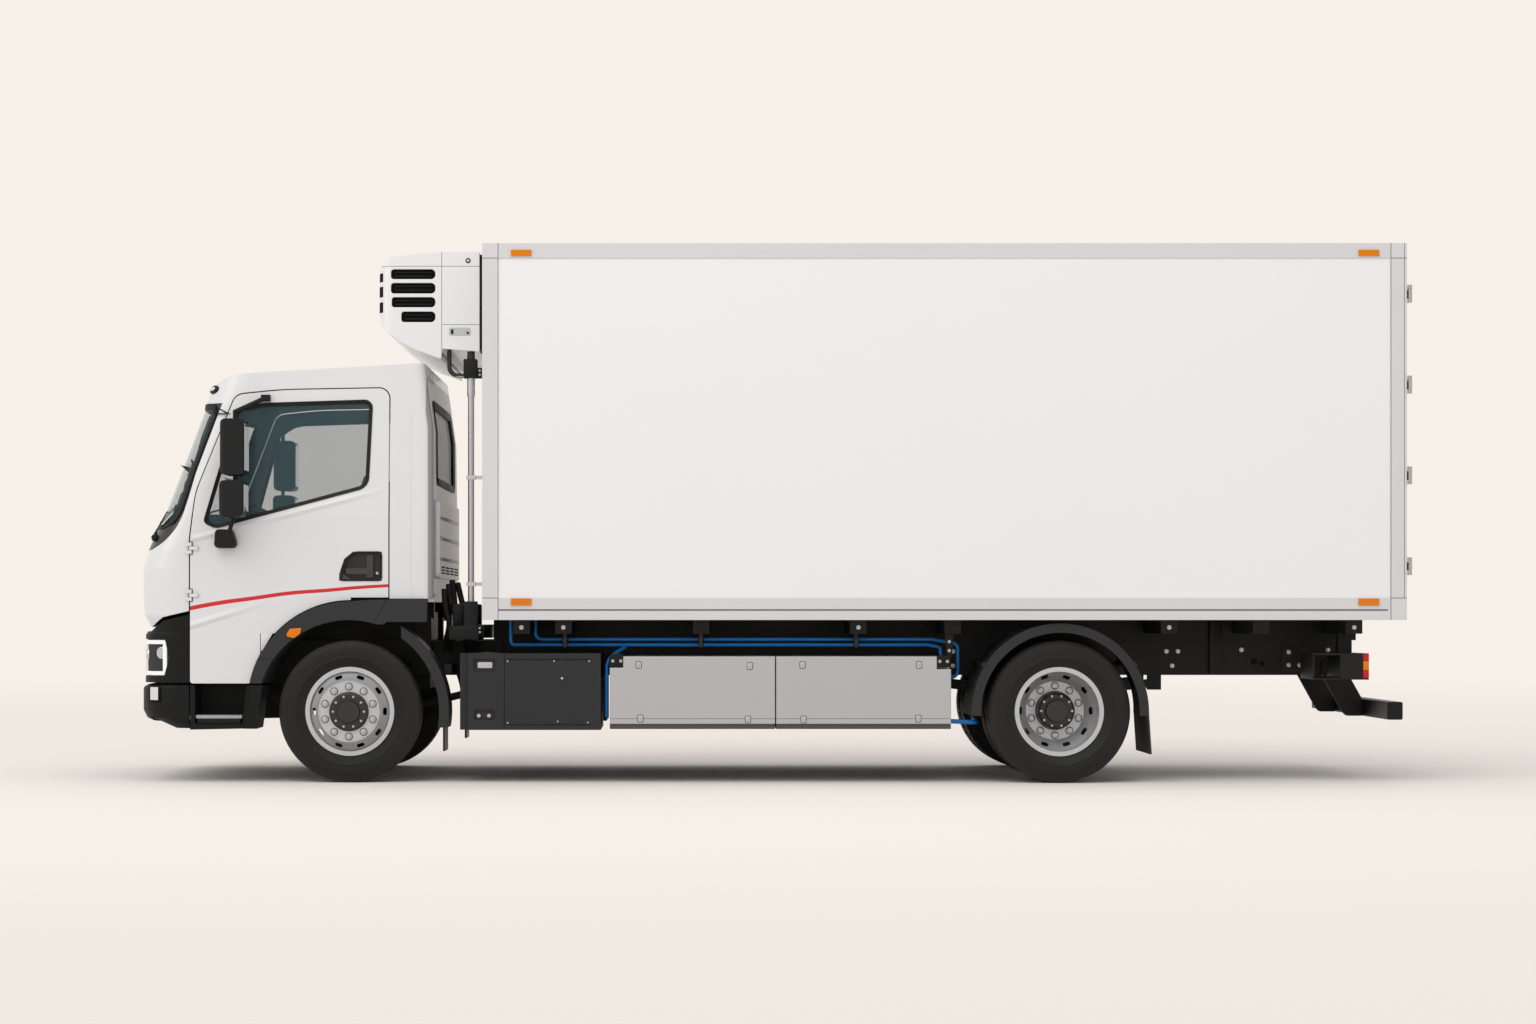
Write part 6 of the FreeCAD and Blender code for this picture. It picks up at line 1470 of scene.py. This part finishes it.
seatForm = {
    "y": 0.560,
    "cushion": {"low": (-3.380, -0.238, 1.472), "high": (-2.850, 0.238, 1.592), "bevel": 0.040, "lean": 0.0},
    "back": {"low": (-2.880, -0.235, 1.505), "high": (-2.780, 0.235, 2.120), "bevel": 0.038, "lean": 0.235},
    "head": {"low": (-2.686, -0.120, 2.110), "high": (-2.622, 0.120, 2.268), "bevel": 0.024, "lean": 0.10},
    "voxel": 0.009, "cap": 0.010, "pressure": 4.0, "frames": 20, "piping": 0.0035, "pipingPoints": 40,
    "pipingShare": 0.90,
    "bases": (((-3.330, -2.900), 0.190, (1.2505, 1.330), 0.010), ((-3.280, -2.950), 0.150, (1.325, 1.440), 0.020),
              ((-3.360, -2.870), 0.225, (1.435, 1.475), 0.012)),
    "posts": ((-2.668, 2.05), (-2.650, 2.14)), "postHalf": 0.060, "post": 0.008,
}


def padMesh(name, form):
    bm = bmesh.new()
    addBox(bm, form["low"], form["high"], form["bevel"], 3)
    pivot = Vector((form["low"][0], 0, form["low"][2]))
    bmesh.ops.rotate(bm, cent=pivot, matrix=Matrix.Rotation(form["lean"], 3, "Y"), verts=bm.verts[:])
    return meshFrom(name, bm)


# blows a pad up a little as cloth, so that its faces crown between its edges
def puffed(obj):
    bpy.context.view_layer.objects.active = obj
    remesh = obj.modifiers.new("grid", "REMESH")
    remesh.mode = "VOXEL"
    remesh.voxel_size = seatForm["voxel"]
    bpy.ops.object.modifier_apply(modifier=remesh.name)
    start = [v.co.copy() for v in obj.data.vertices]
    cloth = obj.modifiers.new("cloth", "CLOTH")
    cloth.settings.use_pressure = True
    cloth.settings.uniform_pressure_force = seatForm["pressure"]
    cloth.settings.effector_weights.gravity = 0.0
    for step in range(1, seatForm["frames"] + 1):
        bpy.context.scene.frame_set(step)
    shaped = obj.evaluated_get(bpy.context.evaluated_depsgraph_get())
    places = [v.co.copy() for v in shaped.to_mesh().vertices]
    shaped.to_mesh_clear()
    obj.modifiers.remove(cloth)
    bpy.context.scene.frame_set(1)
    for vert, old, new in zip(obj.data.vertices, start, places):
        shift = new - old
        if shift.length > seatForm["cap"]:
            shift *= seatForm["cap"] / shift.length
        vert.co = old + shift


# a sewn bead round the face of a pad that is sat on or leant on
def makePiping(name, obj, form):
    low, high = Vector(form["low"]), Vector(form["high"])
    tree = BVHTree.FromObject(obj, bpy.context.evaluated_depsgraph_get())
    isFlat = (high - low).z < (high - low).x
    pivot, turn = Vector((low.x, 0, low.z)), Matrix.Rotation(form["lean"], 3, "Y")
    middle, half = (low + high) / 2, (high - low) / 2
    points, count = [], seatForm["pipingPoints"]
    for k in range(count):
        wide, tall = math.cos(math.tau * k / count), math.sin(math.tau * k / count)
        grow = seatForm["pipingShare"] / max(abs(wide), abs(tall))
        u, v = wide * grow, tall * grow
        if isFlat:
            place = Vector((middle.x + u * half.x, v * half.y, high.z))
        else:
            place = Vector((low.x, u * half.y, middle.z + v * half.z))
        nearest, normal = tree.find_nearest(pivot + turn @ (place - pivot))[:2]
        points.append(nearest + normal * 0.001)
    return tubeAlong(name, points, seatForm["piping"], "rubber", "cab", cyclic=True)


def makeSeatPads(part):
    form = seatForm[part]
    pad = placed(f"seat{titled(part)}Left", padMesh(f"seat{titled(part)}", form))
    puffed(pad)
    pad.data.materials.clear()
    pad.data.materials.append(materials["seatCloth"])
    pad.data.shade_smooth()
    piping = makePiping(f"seatPiping{titled(part)}Left", pad, form)
    padRight = placed(f"seat{titled(part)}Right", pad.data.copy())
    pipingRight = placed(f"seatPiping{titled(part)}Right", piping.data.copy())
    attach(pipingRight, "cab")
    for obj, cord, sign in ((pad, piping, -1), (padRight, pipingRight, 1)):
        shift = Matrix.Translation((0, sign * seatForm["y"], 0))
        obj.data.transform(shift)
        cord.data.transform(shift)
        smooth = obj.modifiers.new("smooth", "SUBSURF")
        smooth.levels = smooth.render_levels = 1
        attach(obj, "cab")
        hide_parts("seats")


def makeSeatBases():
    bm = bmesh.new()
    (x0, z0), (x1, z1) = seatForm["posts"]
    for sign in signs:
        for x, half, z, bevel in seatForm["bases"]:
            sideBox(bm, sign, x, around(seatForm["y"], half), z, bevel)
        for y in around(sign * seatForm["y"], seatForm["postHalf"]):
            addDisc(bm, seatForm["post"], (x0, y, z0), (x1, y, z1), 10)
    obj = piece("seatBases", bm, "trimGrey", "cab")
    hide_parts("seats")


for part in ("cushion", "back", "head"):
    makeSeatPads(part)
makeSeatBases()
print("seats")


# inside of the cab

inside = {
    "binnacle": ((-3.72, -0.76, 1.785), (-3.60, -0.36, 1.868)),
    "screen": ((-3.600, -0.14, 1.690), (-3.566, 0.16, 1.785)),
    "glovebox": ((-3.60, 0.40, 1.685), (-3.562, 0.80, 1.765)), "vents": (-0.92, -0.20, 0.28, 0.92),
    "card": ((-3.78, 1.30), (-2.62, 1.30), (-2.62, 1.88), (-3.10, 1.76), (-3.78, 1.60)), "cardY": (1.060, 1.092),
    "armRest": ((-3.45, -2.90), (1.020, 1.065), (1.555, 1.605)),
    "bin": ((-3.60, -2.85), (1.020, 1.065), (1.330, 1.420)),
}


def makeInterior():
    bm = bmesh.new()
    addBox(bm, *inside["binnacle"], 0.020, 3)
    addBox(bm, *inside["glovebox"], 0.010)
    for y in inside["vents"]:
        addBox(bm, (-3.60, y - 0.055, 1.705), (-3.564, y + 0.055, 1.765), 0.006)
    piece("dashDetails", bm, "trimGrey", "cab")
    screen = bmesh.new()
    addBox(screen, *inside["screen"], 0.004)
    piece("dashScreen", screen, "blackAndPaintedShade", "cab")
    for side, sign in sides:
        card = bmesh.new()
        addOutline(card, inside["card"], *(sign * y for y in inside["cardY"]), 0.008)
        sideBox(card, sign, *inside["armRest"], 0.014, 3)
        sideBox(card, sign, *inside["bin"], 0.012)
        piece(f"doorCard{titled(side)}", card, "trimGrey", f"cab_door_{side}")


makeInterior()
print("inside of the cab")


# rear of the cab

cabBack = {"x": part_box("cab_shell")[1].x, "half": 0.84, "ribs": (1.505, 1.645, 1.785), "ribHalf": 0.012,
           "louvres": (1.410, 1.430, 1.450), "louvreY": (-0.60, -0.20, 0.20, 0.60), "louvre": (0.14, 0.005)}


def makeCabBack():
    ribs, dark = bmesh.new(), bmesh.new()
    x, half, ribHalf = cabBack["x"], cabBack["half"], cabBack["ribHalf"]
    wide, tall = cabBack["louvre"]
    for z in cabBack["ribs"]:
        addBox(ribs, (x - 0.002, -half, z - ribHalf), (x + 0.004, half, z + ribHalf), 0.002)
    # near-black slits where the louvres are: painted shade in their openings
    for z in cabBack["louvres"]:
        for y in cabBack["louvreY"]:
            addBox(dark, (x - 0.001, y - wide, z - tall), (x + 0.003, y + wide, z + tall), 0.001)
    piece("cabBackRibs", ribs, "paleGrey", "cab")
    piece("cabBackLouvreShade", dark, "blackAndPaintedShade", "cab")


makeCabBack()
print("rear of the cab")


# floor, light and camera

studio = {
    "backdrop": (0.93, 0.875, 0.815),
    "floor": (0.86, 0.81, 0.755),
    "sky": 0.82,
    "blendFrom": 9.0, "blendTo": 30.0,
}


# mixes two shaders into the output of a material or of the world
def mixShaders(owner, factor, first, second, output):
    mix = addNode(owner, "ShaderNodeMixShader")
    for socket, value in zip(mix.inputs, (factor, first.outputs[0], second.outputs[0])):
        feed(socket, value)
    feed(owner.node_tree.nodes[output].inputs["Surface"], mix.outputs[0])


# a white sky that lights the truck, and the backdrop that is seen, mirrored and looked through
def makeStudio():
    world = bpy.data.worlds.new("studio")
    bpy.context.scene.world = world
    world.use_nodes = True
    sky = world.node_tree.nodes["Background"]
    feed(sky.inputs["Color"], (1, 1, 1))
    feed(sky.inputs["Strength"], studio["sky"])
    shown = addNode(world, "ShaderNodeBackground", Color=studio["backdrop"])
    rays = addNode(world, "ShaderNodeLightPath").outputs
    seen = Value(world, rays["Is Camera Ray"]) | rays["Is Glossy Ray"] | rays["Is Transmission Ray"]
    mixShaders(world, seen, sky, shown, "World Output")


# the floor near the truck takes its shadow and further off turns into the backdrop
def makeFloor():
    bm = bmesh.new()
    bmesh.ops.create_grid(bm, x_segments=1, y_segments=1, size=90)
    floor = placed("floor", meshFrom("floor", bm))
    material = shader("floorFinish", studio["floor"], 1.0, Specular_IOR_Level=0.0)
    at = parts(material)
    reach = at.x.scaled(at.x, at.y * at.y).through("SQRT")
    glow = addNode(material, "ShaderNodeEmission", Color=studio["backdrop"])
    far = reach.spread(studio["blendFrom"], studio["blendTo"], 0.0, 1.0)
    mixShaders(material, far, surface(material), glow, "Material Output")
    floor.data.materials.append(material)


def addLamp(data, place, target):
    lamp = placed(data.name, data)
    lamp.location = place
    lamp.rotation_euler = (Vector(target) - Vector(place)).to_track_quat("-Z", "Y").to_euler()


def makeSun(name, place, strength, angle):
    data = bpy.data.lights.new(name, "SUN")
    data.energy = strength
    data.angle = math.radians(angle)
    addLamp(data, place, (0, 0, 0))


def makeSoftbox(name, place, target, size, power):
    data = bpy.data.lights.new(name, "AREA")
    data.shape = "RECTANGLE"
    data.size, data.size_y = size
    data.energy = power
    addLamp(data, place, target)


camera = {"distance": 20.0, "pixel": 0.00665, "frame": (1536, 1024), "axisPixel": (680, 610), "x": -0.5912,
          "z": 1.1566, "sensor": 36}


def makeCamera():
    data = bpy.data.cameras.new("camera")
    width, height = camera["frame"]
    data.sensor_width = camera["sensor"]
    data.lens = camera["sensor"] * camera["distance"] / (camera["pixel"] * width)
    data.shift_x = (width / 2 - camera["axisPixel"][0]) / width
    data.shift_y = (camera["axisPixel"][1] - height / 2) / width
    data.clip_end = 200
    obj = placed("camera", data)
    obj.location = (camera["x"], bodyBox[0].y - camera["distance"], camera["z"])
    obj.rotation_euler = (math.radians(90), 0, 0)
    bpy.context.scene.camera = obj


makeStudio()
makeFloor()
makeSun("keySun", (-5, -9, 12), 0.62, 40)
makeSoftbox("topBox", (-1, -6, 9), (0, 0, 1.8), (12, 3), 120)
makeSoftbox("frontBox", (-13, -6, 6), (-3.6, 0, 1.6), (5, 5), 120)
makeCamera()
bpy.context.scene.view_settings.view_transform = "Standard"

print("scene ready")
